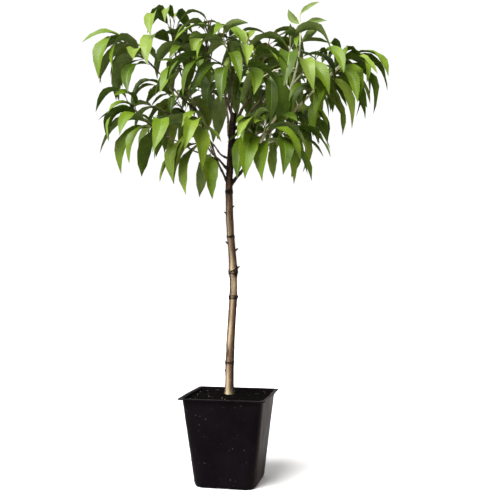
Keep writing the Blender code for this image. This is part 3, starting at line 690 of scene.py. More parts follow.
def add_leaf(heap, leaf, root, rng, tint, under):
    """One leaf: rings of ten points along its middle line.

    A point stands off the line by its place across times the half width, is lifted by the fold, which grows with the
    distance from the rib, and by a wave along the margin, and stands above or below by half a thickness. The blade
    also twists a little from its root to its point.
    """
    s = SMALL_LEAF_RINGS if leaf["place"] >= 20 else LEAF_RINGS
    bow = rng.uniform(*LEAF_ARCH), LEAF_SICKLE * rng.uniform(-1, 1)
    path, side, face = leaf_course(leaf, np.append(s, 1.0), *bow)
    path = path + (root - leaf["root"])
    path, point, side, face = path[:-1], path[-1:], side[:-1], face[:-1]
    width = blade_width(leaf, s)
    twist = rng.uniform(-0.5, 0.5) * ease(STALK, 1, s)
    side, face = (
        side * np.cos(twist)[:, None] + face * np.sin(twist)[:, None],
        face * np.cos(twist)[:, None] - side * np.sin(twist)[:, None],
    )
    waves = rng.uniform(1.6, 3.0)
    phase = rng.uniform(0, 1)
    height = rng.uniform(0.05, 0.18)
    across = LEAF_ACROSS[None]
    wave = height * across**2 * np.sin(2 * math.pi * (waves * s[:, None] + phase + 0.27 * np.sign(across)))
    blade = ease(STALK * 0.7, STALK * 1.6, s)[:, None]
    lift = width[:, None] * blade * (leaf["fold"] * FOLD_MORE * np.abs(across) ** 1.4 + wave)
    half = 0.00022 + (0.00055 - 0.00042 * blade) * (1 - across**2)
    ridge = 0.0004 * blade * (1 - s[:, None]) * (np.abs(across) < 0.1)
    rise = np.where(LEAF_FACING > 0, half - 0.3 * ridge, -half - ridge) * (LEAF_FACING != 0)
    scallop = 1 + SCALLOP * blade * (-1.0) ** np.arange(len(s))[:, None] * (np.abs(across) == 1)
    out = across * width[:, None] * scallop
    points = path[:, None] + side[:, None] * out[..., None] + face[:, None] * (lift + rise)[..., None]
    points = np.vstack([points.reshape(-1, 3), path[:1], point])
    rows, count = len(s), len(LEAF_ACROSS)
    looks = np.tile(STRIPS + UPPER_STRIPS * tint + UNDER_STRIPS * under, (rows - 1, 1))
    looks[:STALK_RINGS] = STALK_LOOK
    quads = wall_quads(rows, count)[:, ::-1].reshape(rows - 1, count, 4)
    quads[:, count // 2:] = np.roll(quads[:, count // 2:], 1, axis=-1)
    tris = np.vstack([fan(rows * count, 0, count, False), fan(rows * count + 1, (rows - 1) * count, count, True)])
    ends = np.concatenate([np.full(count, STALK_LOOK), looks[-1]])
    vein = np.stack([np.broadcast_to(across, (rows, count)), np.broadcast_to(s[:, None], (rows, count)) * leaf["length"] * 40,
                     np.full((rows, count), leaf["width"] * 40)], -1).reshape(-1, 3)
    vein = np.vstack([vein, vein[:1], vein[-1:]])
    heap.add(points, quads.reshape(-1, 4), tris, looks.ravel(), ends, blade=vein)


def add_bud(heap, place, way, length, look, twig):
    """A bud: five rings whose radius swells and shrinks again like half a sine."""
    t = np.array((0.0, 0.25, 0.5, 0.8, 1.0))
    path = place + np.outer(t * length, way)
    radii = length * 0.30 * np.sin(math.pi * (0.18 + 0.78 * t))
    heap.add_tube(limb_tube(path, radii, 5), look, skin=np.zeros((5, 5, 3)), twig=twig)


# Knots and rubbed spots on the trunk: height, bearing in degrees, size
TRUNK_KNOTS = (
    (0.385, 300, 0.0040), (0.398, 350, 0.0030), (0.455, 265, 0.0022), (0.498, 215, 0.0024), (0.540, 262, 0.0045),
    (0.602, 250, 0.0030), (0.300, 120, 0.0025), (0.262, 75, 0.0020), (0.480, 60, 0.0030), (0.520, 130, 0.0026),
)
SPLINTERS = ((200, 0.0075, 22), (330, 0.0060, 18), (60, 0.0035, 26), (265, 0.0030, 14), (120, 0.0050, 20))
SCAR_HEIGHT = 0.3905
SCAR_SLOPE = 0.0055
SCAR_BEARING = 320


def around(bearing, turn):
    """Signed angle in radians from a bearing in degrees to each turn in radians."""
    return (turn - np.radians(bearing) + math.pi) % (2 * math.pi) - math.pi


def add_trunk(heap):
    """The trunk's skin with its bark's relief.

    A point stands off the trunk's centre by its radius, to which are added long ribs and flutes (noise drawn out along
    the trunk), ridges and a groove at each ring, a slanting scar, and knots with a raised lip round a hollow. The top
    is torn: its height swings with the bearing, and it is closed by a hollow of splintered wood.
    """
    sides = 84
    rough = np.concatenate([np.linspace(h - 0.007, h + 0.007, 26) for h, _, _ in TRUNK_RINGS])
    levels = np.concatenate([np.linspace(TRUNK_FOOT - 0.004, TRUNK_TOP - 0.004, 420), rough])
    levels = np.sort(levels)
    levels = levels[np.concatenate([[True], np.diff(levels) > 0.00018])]
    turn = np.arange(sides) * 2 * math.pi / sides
    z, turn = np.meshgrid(levels, turn, indexing="ij")
    radius = trunk_radius(np.maximum(z, TRUNK_FOOT))
    centre = trunk_centre(z)
    spokes = np.stack([np.cos(turn), np.sin(turn), np.zeros(turn.shape)], -1)
    bark = np.stack([np.cos(turn) * 0.0075, np.sin(turn) * 0.0075, z], -1)
    drawn = bark * (1, 1, 0.14)
    ribs = ripple(drawn, 0.0052, 1, 26)
    cracks = 1 - np.abs(ripple(drawn * (1, 1, 0.7), 0.0030, 2, 26))
    dirt = ripple(bark, 0.0022, 3, 26)
    old = ease(0.44, 0.58, z)
    relief = 0.00022 * ribs + (0.00010 + 0.00020 * old) * cracks**3 + (0.00006 + 0.00010 * old) * dirt
    dark = np.zeros(z.shape)
    for height, swell, width in TRUNK_RINGS:
        wobble = height + 0.0007 * ripple(spokes, 1.2, int(height * 1000))
        ridges = bump(z, wobble + 0.0013, 0.0007) + 0.8 * bump(z, wobble - 0.0016, 0.0008) - 0.9 * bump(z, wobble, 0.0005)
        relief += swell * 0.38 * ridges
        apart = 0.0021 if swell > 0.0012 else 0.0005
        lines = bump(z, wobble + apart, 0.0016) + bump(z, wobble - apart, 0.0016)
        dark += (lines + 0.35 * bump(z, wobble, 0.0045)) * min(1.0, (swell / 0.0011) ** 2) * (0.70 + 0.3 * dirt)
    scar = SCAR_HEIGHT + SCAR_SLOPE * np.cos(around(SCAR_BEARING, turn)) + 0.0012 * ripple(spokes, 0.8, 5)
    relief += 0.0006 * bump(z, scar, 0.0011) - 0.0007 * bump(z, scar - 0.0018, 0.0008)
    relief += 0.0005 * ease(-0.001, 0.001, z - scar) * bump(z, SCAR_HEIGHT + 0.006, 0.012)
    dark += 0.75 * bump(z, scar - 0.0012, 0.0012)
    for height, bearing, size in TRUNK_KNOTS:
        off = np.hypot((z - height) * 0.8, around(bearing, turn) * radius) / size
        relief += size * (0.24 * bump(off, 0.8, 0.42) - 0.16 * bump(off, 0, 0.45))
        dark += 0.95 * bump(off, 0, 0.85)
    tear = sum(tall * bump(np.degrees(around(bearing, turn)), 0, wide) for bearing, tall, wide in SPLINTERS)
    tear = tear + 0.0008 * ripple(spokes, 0.35, 6)
    top = ease(TRUNK_TOP - 0.022, TRUNK_TOP - 0.004, z)
    points = centre + spokes * (radius + relief - 0.0012 * top * tear / 0.0075)[..., None]
    points[..., 2] += top * (tear + 0.001)
    rim = points[-1]
    middle = rim.mean(0)
    hollow = [middle + (rim - middle) * share - UP * drop for share, drop in ((0.80, 0.0030), (0.45, 0.0045))]
    rows = [*points, *[ring + ripple(ring[None], 0.002, 9)[0][:, None] * UP * 0.0008 for ring in hollow]]
    rings = np.array(rows)
    # Darker towards the top of the trunk from about 0.535 m, a little less so round 0.602 m.
    darker_top = np.clip(ease(0.535, 0.585, z) * (0.80 + 0.35 * ripple(drawn, 0.011, 8)), 0, 1)
    darker_top *= 1 - 0.55 * bump(z, 0.602, 0.016) * (0.5 + 0.5 * ribs)
    # Painted shade: darker down the trunk's right side and left edge as seen from in front, and on the low trunk below
    # 0.36 m. Also darker in a patch on the left from 0.345 to 0.388 m, and a little above 0.42 m.
    side = 0.85 * ease(0.1, 0.95, np.cos(around(345, turn))) * (0.75 + 0.25 * ribs)
    side += 0.55 * ease(0.55, 1.0, np.cos(around(186, turn)))
    side += 0.5 * ease(0.345, 0.350, z) * ease(0.388, 0.382, z) * ease(0.25, 0.5, np.cos(around(205, turn)))
    side += 0.09 * ease(0.39, 0.42, z) + 0.20 * ease(0.36, 0.30, z)
    dark = np.clip(dark + darker_top + side + 0.12 * dirt + 0.12 * cracks**4, 0, 1)
    # Painted highlight: a pale streak down the trunk's front-left, where the key light falls. The pale mask also holds
    # paler grain and a pale patch at 0.366 m.
    painted_highlight = bump(np.degrees(around(245 + 14 * np.sin(z * 23), turn)), 0, 26) * (1 - old)
    patchy = 0.6 + 0.4 * ripple(drawn, 0.009, 10)
    pale = np.clip(painted_highlight * patchy + 0.10 * ribs + 0.55 * bump(z, 0.366, 0.016) * ease(-0.2, 0.7, np.cos(around(300, turn))), 0, 1)
    green = np.clip(0.6 * bump(z, TRUNK_FOOT, 0.009) * (0.8 + 0.3 * ribs) + 0.10 * patchy * (1 - old), 0, 1)
    lid = np.ones((2, sides))
    heap.add_tube(
        rings, 0,
        dark=np.vstack([dark, lid * 0.9])[..., None], pale=np.vstack([pale, lid * 0.0])[..., None],
        green=np.vstack([green, lid * 0.0])[..., None], skin=np.concatenate([bark, np.array(hollow)], 0),
    )


def add_stub(heap, height, bearing, length, radius):
    """The stub of a rubbed or cut shoot: a short hooked thorn that narrows to a broken end."""
    length = length * 0.62
    radius = radius * 1.15
    way = unit(np.array((math.cos(math.radians(bearing)), math.sin(math.radians(bearing)), STUB_RISE)))
    t = np.linspace(0, 1, 9)
    reach = float(trunk_radius(height)) + length
    path = trunk_centre(height) + np.outer((0.25 + 0.75 * t) * reach, way) + np.outer(0.0010 * t**3, UP)
    swell = radius * (1.15 - 0.75 * t**1.4 + 0.25 * bump(t, 0.25, 0.2))
    rings = limb_tube(path, swell, 10)
    rings = rings + 0.0002 * ripple(rings, 0.002, 11)[..., None]
    masks = {"dark": 0.45 + 0.5 * t, "pale": 0.15 * (1 - t), "green": 0 * t}
    skin = np.broadcast_to(rings * 1.0, rings.shape)
    heap.add_tube(rings, 0, skin=skin, **{key: value[:, None, None] for key, value in masks.items()})


# How dark and how pale each bough is; the rest lie between
BOUGH_TONES = {"right": (0.95, 0.0), "front_right": (0.1, 0.85), "far_right": (0.1, 0.8), "right_leader": (0.75, 0.0)}
# Boughs that are slimmer than the model's, and by what share
SLIM_BOUGHS = {"left": 0.70, "far_left": 0.55, "low_left": 0.55, "front_left": 0.6, "left_leader": 0.75, "front": 0.7, "back_left": 0.75}


def add_bough(heap, crown, name):
    """A bough: a tapering tube with a collar at its foot, a swelling at each bud ring and a ripple of bark."""
    parent, height, tip, lift = BOUGHS[name]
    foot = crown.lines[name][0][0]
    t = np.linspace(0, 1, 120)[:, None]
    path = foot + (np.array(tip) - foot) * t + 4 * lift * t * (1 - t) * UP
    run = np.concatenate([[0], np.cumsum(np.linalg.norm(np.diff(path, axis=0), axis=1))])
    along = run / run[-1]
    slim = np.interp(along, (0, 1), (BOUGH_FOOT_RADIUS * 0.92, LEADER_RADII[0] * 1.08))
    radii = slim * SLIM_BOUGHS.get(name, 1.0) + BOUGH_COLLAR * 1.2 * np.exp(-run / BOUGH_COLLAR_LENGTH)
    rng = np.random.default_rng([SEED, 3, list(BOUGHS).index(name)])
    rings_at = np.arange(0.016, run[-1], 0.021) + rng.uniform(-0.004, 0.004, len(np.arange(0.016, run[-1], 0.021)))
    for place in rings_at:
        radii = radii + 0.00042 * bump(run, place, 0.0016) + 0.0002 * bump(run, place, 0.005)
    sway = 0.0011 * np.sin(run[:, None] * (95 + 25 * rng.uniform(-1, 1, 3)) + rng.uniform(0, 6, 3))
    path = path + sway * (np.sin(math.pi * along) ** 0.5)[:, None]
    rings = limb_tube(path, radii, 14)
    turn = np.arange(14) * 2 * math.pi / 14
    skin = np.stack([np.broadcast_to(np.cos(turn) * 0.003, rings.shape[:2]), np.broadcast_to(np.sin(turn) * 0.003, rings.shape[:2]),
                     np.broadcast_to(run[:, None] + height, rings.shape[:2])], -1)
    grain = ripple(skin * (1, 1, 0.2), 0.0022, 12)
    rings = rings + (rings - path[:, None]) * (0.05 * grain)[..., None]
    low, high = BOUGH_TONES.get(name, (0.72, 0.0))
    dark = (low * (1 - 0.45 * along) + 0.3 * bump(run, 0, 0.03))[:, None] + 0.12 * grain
    for place in rings_at:
        dark = dark + 0.35 * bump(run, place, 0.0012)[:, None]
    pale = (high * ease(0.05, 0.55, along))[:, None] * (1 + 0.1 * grain)
    if name == "right":
        pale = 0.9 * ease(0.35, 0.6, along)[:, None] * np.ones(rings.shape[:2])
        dark = dark * (1 - 0.85 * ease(0.30, 0.55, along))[:, None]
    green = (0.2 + 0.2 * along)[:, None] * np.ones(rings.shape[:2]) + 0.7 * pale
    heap.add_tube(
        rings, 0, dark=np.clip(dark, 0, 1)[..., None], pale=np.clip(pale, 0, 1)[..., None],
        green=np.clip(green, 0, 1)[..., None], skin=skin,
    )


# Colour of each mass's twigs: 0 brown, 1 pale green, 2 reddish
TWIG_TONES = {"right": 1, "front_right": 1, "far_right": 1, "middle_right": 1, "right_leader": 2}


def add_sheath(heap, place, way, length, tone):
    """A dry bud scale: a thin curved spindle."""
    path = bend(place, way, place + (way + UP * 0.6) * length * 0.7, 7)
    radii = 0.0017 * np.sin(math.pi * np.linspace(0.12, 0.97, 8))
    rings = limb_tube(path, radii, 6)
    heap.add_tube(rings, tone, skin=rings * 1.0, twig=0.5)


def add_shoot(heap, line, radii, tone, nodes, seed):
    """A shoot: a thin tapering tube, a little swollen at each leaf's root."""
    path = dense(line, 0.0022)
    run = np.concatenate([[0], np.cumsum(np.linalg.norm(np.diff(path, axis=0), axis=1))])
    slim = np.interp(run / run[-1], (0, 1), radii)
    for node in nodes:
        here = run[np.argmin(np.linalg.norm(path - node, axis=1))]
        slim = slim + 0.00035 * bump(run, here, 0.0022)
    rings = limb_tube(path, slim, 7)
    turn = np.arange(7) * 2 * math.pi / 7
    skin = np.stack([np.broadcast_to(np.cos(turn) * 0.0015, rings.shape[:2]), np.broadcast_to(np.sin(turn) * 0.0015, rings.shape[:2]),
                     np.broadcast_to(run[:, None] + seed * 0.37, rings.shape[:2])], -1)
    heap.add_tube(rings, tone, skin=skin, twig=(run / run[-1])[:, None, None])


def square_ring(width, corner, z, along=9, turn=10):
    """A square with round corners, from the middle of its right side and turning left, as points of x, y and z.

    Each quarter is half a side, a quarter circle, and half a side.
    """
    half = width / 2
    side = np.linspace(0, half - corner, along, endpoint=False)
    angle = np.linspace(0, math.pi / 2, turn, endpoint=False)
    x = np.concatenate([np.full(along, half), half - corner + corner * np.cos(angle), half - corner - side])
    y = np.concatenate([side, half - corner + corner * np.sin(angle), np.full(along, half)])
    quarter = np.stack([x, y], 1)
    ring = [quarter]
    for _ in range(3):
        quarter = np.stack([-quarter[:, 1], quarter[:, 0]], 1)
        ring.append(quarter)
    flat = np.vstack(ring)
    return np.column_stack([flat, np.full(len(flat), z)])


def pot_share(z):
    """How far up the pot's straight side a height is, from 0 at the rolled foot to 1 at the rim."""
    return (z - POT_FOOT_ROLL) / (POT_HEIGHT - POT_FOOT_ROLL)


def body_ring(z, inset=0.0):
    """The pot's wall at a height: its width and corners go evenly from the foot to the rim, less an inset."""
    share = pot_share(z)
    width = POT_FOOT_WIDTH + (POT_TOP_WIDTH - POT_FOOT_WIDTH) * share
    corner = POT_FOOT_CORNER + (POT_TOP_CORNER - POT_FOOT_CORNER) * share
    return square_ring(width - 2 * inset, corner - inset, z)


def foot_ring(angle):
    """The rolled foot: a quarter ellipse from the wall at a right angle to the base at nought."""
    inward = (POT_FOOT_WIDTH - POT_BASE_WIDTH) * (1 - math.sin(angle))
    return square_ring(POT_FOOT_WIDTH - inward, POT_FOOT_CORNER - inward / 2, POT_FOOT_ROLL * (1 - math.cos(angle)))


def welded(points, quads):
    """Points that fall together made one, and the quads that use them."""
    _, first, number = np.unique(np.round(points, 6), axis=0, return_index=True, return_inverse=True)
    return points[first], number.reshape(-1)[quads]


def make_pot(look):
    """The moulded pot: walls of square rings, and a floor of four quarters that each run into a drain hole."""
    lip = POT_LIP_WIDTH
    edge = ((0.0014, 0.0), (0.0006, 0.0001), (0.00015, 0.0004), (0.0, 0.0009), (0.0, 0.0016), (0.0002, 0.0020), (0.0006, 0.0022))
    under = POT_HEIGHT - POT_LIP_DROP
    rows = [foot_ring(angle) for angle in np.radians((0, 15, 30, 45, 60, 75))]
    rows += [body_ring(z) for z in np.linspace(POT_FOOT_ROLL, under - 0.0012, 22)]
    rows += [body_ring(under - 0.0004, -0.0003), body_ring(under, -0.0010)]
    rows += [square_ring(lip - 2 * inset, POT_LIP_CORNER, POT_HEIGHT - drop) for inset, drop in edge[::-1]]
    rows += [square_ring(width, POT_TOP_CORNER - 0.002, POT_HEIGHT) for width in (0.1555, POT_TOP_WIDTH + 0.0006)]
    rows += [body_ring(POT_HEIGHT - 0.0006, 0.0004), body_ring(POT_HEIGHT - 0.0016, POT_WALL)]
    rows += [body_ring(z, POT_WALL) for z in np.linspace(POT_HEIGHT - 0.006, POT_FLOOR, 10)]
    walls = np.array(rows)
    count = walls.shape[1]
    wide = np.abs(walls[..., :2]).max(-1, keepdims=True)
    middle = bump(np.abs(walls[..., :2]).min(-1), 0, 0.045)
    bow = 0.0007 * middle * ease(0.02, 0.15, walls[..., 2]) + 0.00022 * ripple(walls, 0.05, 31)
    walls[..., :2] *= 1 + bow[..., None] / wide
    points = [walls.reshape(-1, 3)]
    quads = [wall_quads(len(walls), count)]
    quarter = count // 4
    for k in range(4):
        base = np.roll(walls[0], -k * quarter, axis=0)[: quarter + 1]
        inside = np.roll(walls[-1], -k * quarter, axis=0)[: quarter + 1]
        shares = np.linspace(0, 1, 9)[1:-1, None]
        loops = []
        for arc in (inside, base):
            hub = np.array((0, 0, arc[0, 2]))
            loops.append(np.vstack([arc, arc[-1] + (hub - arc[-1]) * shares, hub, hub + (arc[0] - hub) * shares]))
        spot = math.radians(45 + 90 * k)
        hole = np.array((math.cos(spot), math.sin(spot))) * DRAIN_SPACING
        tube = []
        for loop, order in ((loops[0], (0, 0.5, 0.9, 1)), (loops[1], (1, 0.9, 0.5, 0))):
            way = unit(loop[:, :2] - hole)
            for share in order:
                ring = loop.copy()
                ring[:, :2] += (hole + way * DRAIN_RADIUS - loop[:, :2]) * share
                tube.append(ring)
        tube = np.array(tube)
        quads.append(wall_quads(len(tube), tube.shape[1]) + sum(map(len, points)))
        points.append(tube.reshape(-1, 3))
    points, quads = welded(np.vstack(points), np.vstack(quads))
    flat = np.sort(np.abs(points[:, :2]), axis=1)
    notch = ease(0, 0.0015, NOTCH_WIDTH / 2 - flat[:, 0]) * ease(0, 0.0015, flat[:, 1] - POT_FOOT_WIDTH / 2 + NOTCH_LENGTH)
    low = np.clip(1 - points[:, 2] / NOTCH_DEPTH, 0, 1)
    points[:, 2] += NOTCH_DEPTH * notch * low * (points[:, 2] < NOTCH_DEPTH)
    heap = Heap()
    heap.add(points, quads, np.zeros((0, 3), int))
    return heap.piece("nursery_pot", [look], ["pot"], sharp=35, turn=False)


def soil_height(x, y):
    """Height of the compost: a low crown towards the trunk, roughened by lumps of three sizes."""
    away = np.hypot(x, y)
    crown = POT_HEIGHT - SOIL_EDGE_DROP + (SOIL_TOP - POT_HEIGHT + SOIL_EDGE_DROP) * (1 - ease(SOIL_FLAT_RADIUS, 0.078, away))
    spot = np.stack([x, y, np.zeros_like(x)], -1)
    lumps = 0.0009 * ripple(spot, 0.020, 32) + 0.0008 * ripple(spot, 0.008, 33) + 0.0004 * ripple(spot, 0.004, 34, 30)
    return crown + lumps * (0.35 + 0.65 * ease(0.008, 0.022, away)) + 0.0006


def make_soil(look):
    """The compost: rings up the inside of the wall, then rings that shrink over its lumpy top."""
    top = POT_HEIGHT - SOIL_EDGE_DROP
    rows = [body_ring(z, POT_WALL + GAP) for z in np.linspace(POT_FLOOR + GAP, top - 0.002, 8)]
    rim = body_ring(top, POT_WALL + GAP)
    for share in np.linspace(1, 0.004, 60):
        ring = rim.copy()
        ring[:, :2] *= share
        ring[:, 2] = soil_height(ring[:, 0], ring[:, 1]) - 0.0016 * ease(0.93, 1.0, share)
        rows.append(ring)
    heap = Heap()
    heap.add_tube(np.array(rows))
    return heap.piece("potting_compost", [look], ["soil"], sharp=60, turn=False)


def lump_faces():
    """The twelve points and twenty faces of an icosahedron: golden rectangles in three planes."""
    g = (1 + math.sqrt(5)) / 2
    points = np.array([
        (-1, g, 0), (1, g, 0), (-1, -g, 0), (1, -g, 0), (0, -1, g), (0, 1, g), (0, -1, -g), (0, 1, -g),
        (g, 0, -1), (g, 0, 1), (-g, 0, -1), (-g, 0, 1),
    ])
    faces = np.array([
        (0, 11, 5), (0, 5, 1), (0, 1, 7), (0, 7, 10), (0, 10, 11), (1, 5, 9), (5, 11, 4), (11, 10, 2), (10, 7, 6),
        (7, 1, 8), (3, 9, 4), (3, 4, 2), (3, 2, 6), (3, 6, 8), (3, 8, 9), (4, 9, 5), (2, 4, 11), (6, 2, 10), (8, 6, 7),
        (9, 8, 1),
    ])
    return unit(points), faces


def scatter(name, look, spots, sizes, seed, flat=0.75):
    """Joined lumps at spots: each an icosahedron with its own three widths, its own turn and roughened points."""
    rng = np.random.default_rng([SEED, seed])
    points, faces = lump_faces()
    count = len(spots)
    shape = points[None] * rng.uniform(0.6, 1.25, (count, 1, 3)) * rng.uniform(0.8, 1.15, (count, len(points), 1))
    axes = np.linalg.qr(rng.normal(size=(count, 3, 3)))[0]
    axes[:, :, 0] *= np.sign(np.linalg.det(axes))[:, None]
    lumps = np.einsum("nij,nkj->nki", axes, shape) * (1, 1, flat) * sizes[:, None, None] + spots[:, None]
    tris = (faces[None] + np.arange(count)[:, None, None] * len(points)).reshape(-1, 3)
    heap = Heap()
    heap.add(lumps.reshape(-1, 3), np.zeros((0, 4), int), tris)
    return heap.piece(name, [look], sharp=30, turn=False)


def soil_spots(count, rng, sink):
    """Spots spread at random over the compost, clear of the trunk, and sunk in it by a share of each lump's size."""
    half = POT_TOP_WIDTH / 2 - POT_WALL - 0.003
    flat = rng.uniform(-half, half, (count * 2, 2))
    flat = flat[np.hypot(flat[:, 0], flat[:, 1]) > 0.012][:count]
    return np.column_stack([flat, soil_height(flat[:, 0], flat[:, 1]) - sink])


def srgb(red, green, blue):
    """A colour given as a screen shows it, in the linear values that shaders use."""
    c = np.array((red, green, blue)) / 255
    linear = np.where(c <= 0.04045, c / 12.92, ((c + 0.055) / 1.055) ** 2.4)
    return (*linear.tolist(), 1.0)


def put(tree, kind, inputs=None, **settings):
    """A shader node with its settings, and each input either joined to a socket or set to a value."""
    node = tree.nodes.new("ShaderNode" + kind)
    for name, value in settings.items():
        setattr(node, name, value)
    for name, value in (inputs or {}).items():
        if isinstance(value, bpy.types.NodeSocket):
            tree.links.new(value, node.inputs[name])
        else:
            node.inputs[name].default_value = value
    return node


def group(name, inputs, outputs):
    """A shader node group with its sockets: inputs are name, kind and value, outputs are name and kind."""
    tree = bpy.data.node_groups.new(name, "ShaderNodeTree")
    for label, kind, value in inputs:
        socket = tree.interface.new_socket(label, in_out="INPUT", socket_type="NodeSocket" + kind)
        if value is not None:
            socket.default_value = value
    for label, kind in outputs:
        tree.interface.new_socket(label, in_out="OUTPUT", socket_type="NodeSocket" + kind)
    return tree, tree.nodes.new("NodeGroupInput").outputs, tree.nodes.new("NodeGroupOutput")


def placed(tree, grouped, inputs):
    """A group placed in a material, with that material's own values."""
    node = put(tree, "Group")
    node.node_tree = grouped
    for name, value in inputs.items():
        if isinstance(value, bpy.types.NodeSocket):
            tree.links.new(value, node.inputs[name])
        else:
            node.inputs[name].default_value = value
    return node.outputs


def blend(tree, share, first, second, kind="MIX"):
    """Two colours mixed by a share."""
    node = put(tree, "Mix", data_type="RGBA", blend_type=kind, clamp_factor=True)
    for socket, value in ((node.inputs[0], share), (node.inputs[6], first), (node.inputs[7], second)):
        if isinstance(value, bpy.types.NodeSocket):
            tree.links.new(value, socket)
        else:
            socket.default_value = value
    return node.outputs[2]


def math_node(tree, kind, first, second=0.0):
    """One sum on two values."""
    node = put(tree, "Math", operation=kind)
    for socket, value in zip(node.inputs, (first, second)):
        if isinstance(value, bpy.types.NodeSocket):
            tree.links.new(value, socket)
        else:
            socket.default_value = value
    return node.outputs[0]


def noise_mask(tree, place, scale, low, high, detail=3.0, rough=0.55):
    """Noise cut to a mask that goes from 0 at low to 1 at high."""
    noise = put(tree, "TexNoise", {"Vector": place, "Scale": scale, "Detail": detail, "Roughness": rough})
    return put(tree, "MapRange", {"Value": noise.outputs["Fac"], "From Min": low, "From Max": high}).outputs["Result"]


def make_mottle():
    """Group: blotches of a second colour on a first, and a finer shade over both."""
    tree, into, out = group(
        "mottle",
        (("Place", "Vector", None), ("Blotch scale", "Float", 40.0), ("Shade scale", "Float", 300.0),
         ("First", "Color", (0.5, 0.5, 0.5, 1)), ("Second", "Color", (0.5, 0.5, 0.5, 1)), ("Shade", "Float", 0.2)),
        (("Color", "Color"), ("Blotches", "Float")),
    )
    blotches = noise_mask(tree, into["Place"], into["Blotch scale"], 0.40, 0.62)
    fine = noise_mask(tree, into["Place"], into["Shade scale"], 0.3, 0.7)
    colour = blend(tree, blotches, into["First"], into["Second"])
    darkness = math_node(tree, "MULTIPLY", fine, into["Shade"])
    colour = blend(tree, darkness, colour, (0.0, 0.0, 0.0, 1.0))
    tree.links.new(colour, out.inputs["Color"])
    tree.links.new(blotches, out.inputs["Blotches"])
    return tree


def make_specks():
    """Group: small sparse spots, as a mask."""
    tree, into, out = group(
        "specks", (("Place", "Vector", None), ("Scale", "Float", 400.0), ("Sparseness", "Float", 0.7)), (("Mask", "Float"),),
    )
    noise = put(tree, "TexNoise", {"Vector": into["Place"], "Scale": into["Scale"], "Detail": 1.0, "Roughness": 0.4})
    past = math_node(tree, "SUBTRACT", noise.outputs["Fac"], into["Sparseness"])
    mask = put(tree, "MapRange", {"Value": past, "From Min": 0.0, "From Max": 0.03})
    tree.links.new(mask.outputs["Result"], out.inputs["Mask"])
    return tree


def make_relief():
    """Group: a normal roughened by noise that may be drawn out along one way."""
    tree, into, out = group(
        "relief",
        (("Place", "Vector", None), ("Scale", "Float", 200.0), ("Strength", "Float", 0.3), ("Depth", "Float", 0.0003)),
        (("Normal", "Vector"), ("Height", "Float")),
    )
    noise = put(tree, "TexNoise", {"Vector": into["Place"], "Scale": into["Scale"], "Detail": 5.0, "Roughness": 0.62})
    lift = put(tree, "Bump", {"Height": noise.outputs["Fac"], "Strength": into["Strength"], "Distance": into["Depth"]})
    tree.links.new(lift.outputs["Normal"], out.inputs["Normal"])
    tree.links.new(noise.outputs["Fac"], out.inputs["Height"])
    return tree


def stretched(tree, place, way):
    """A place stretched by a factor along each axis."""
    return put(tree, "Mapping", {"Vector": place, "Scale": way}).outputs["Vector"]


def start_look(name):
    """A material with its Principled shader, and the object's own coordinates."""
    look = bpy.data.materials.new(name)
    look.use_nodes = True
    tree = look.node_tree
    shader = tree.nodes["Principled BSDF"]
    return look, tree, shader, put(tree, "TexCoord").outputs["Object"]


def join(tree, shader, colour=None, roughness=None, normal=None):
    """Joins what is given to the shader's colour, roughness and normal."""
    for name, socket in (("Base Color", colour), ("Roughness", roughness), ("Normal", normal)):
        if socket is not None:
            tree.links.new(socket, shader.inputs[name])


def pot_look():
    """Near-black moulded plastic: faint drawn marks, specks of grit, and a painted warm reflection down one side.

    The painted reflection lies where x is more than y taken without its sign, in streaks of noise drawn out along z.
    """
    look, tree, shader, place = start_look("pot_plastic_black")
    colours = placed(tree, MOTTLE, {
        "Place": place, "Blotch scale": 14.0, "Shade scale": 90.0, "First": srgb(8, 5, 8), "Second": srgb(14, 9, 13), "Shade": 0.25,
    })
    dust = placed(tree, SPECKS, {"Place": place, "Scale": 330.0, "Sparseness": 0.765})["Mask"]
    colour = blend(tree, math_node(tree, "MULTIPLY", dust, 0.6), colours["Color"], srgb(120, 112, 104))
    drawn = stretched(tree, place, (1.0, 1.0, 0.12))
    marks = noise_mask(tree, drawn, 60.0, 0.3, 0.7)
    axes = put(tree, "SeparateXYZ", {0: place}).outputs
    # Painted reflection: a warm brown is mixed into the colour on the pot's +X face, the right side seen from in front,
    # strongest in vertical streaks.
    facing = math_node(tree, "SUBTRACT", axes["X"], math_node(tree, "ABSOLUTE", axes["Y"]))
    facing = put(tree, "MapRange", {"Value": facing, "From Min": 0.002, "From Max": 0.016}).outputs["Result"]
    painted_reflection_streaks = math_node(tree, "ADD", math_node(tree, "MULTIPLY", noise_mask(tree, drawn, 70.0, 0.35, 0.80), 0.22), 0.03)
    colour = blend(tree, math_node(tree, "MULTIPLY", facing, painted_reflection_streaks), colour, srgb(110, 86, 78))
    rough = put(tree, "MapRange", {"Value": marks, "To Min": 0.26, "To Max": 0.40}).outputs["Result"]
    normal = placed(tree, RELIEF, {"Place": place, "Scale": 900.0, "Strength": 0.12, "Depth": 0.0002})["Normal"]
    join(tree, shader, colour, rough, normal)
    shader.inputs["Specular IOR Level"].default_value = 0.05
    return look


def compost_look(name, first, second, scale=160.0):
    """Damp earth: two browns in blotches, dull all over."""
    look, tree, shader, place = start_look(name)
    colours = placed(tree, MOTTLE, {
        "Place": place, "Blotch scale": scale, "Shade scale": 900.0, "First": first, "Second": second, "Shade": 0.5,
    })
    normal = placed(tree, RELIEF, {"Place": place, "Scale": 700.0, "Strength": 0.8, "Depth": 0.0006})["Normal"]
    join(tree, shader, colours["Color"], None, normal)
    shader.inputs["Roughness"].default_value = 0.92
    shader.inputs["Specular IOR Level"].default_value = 0.04
    return look


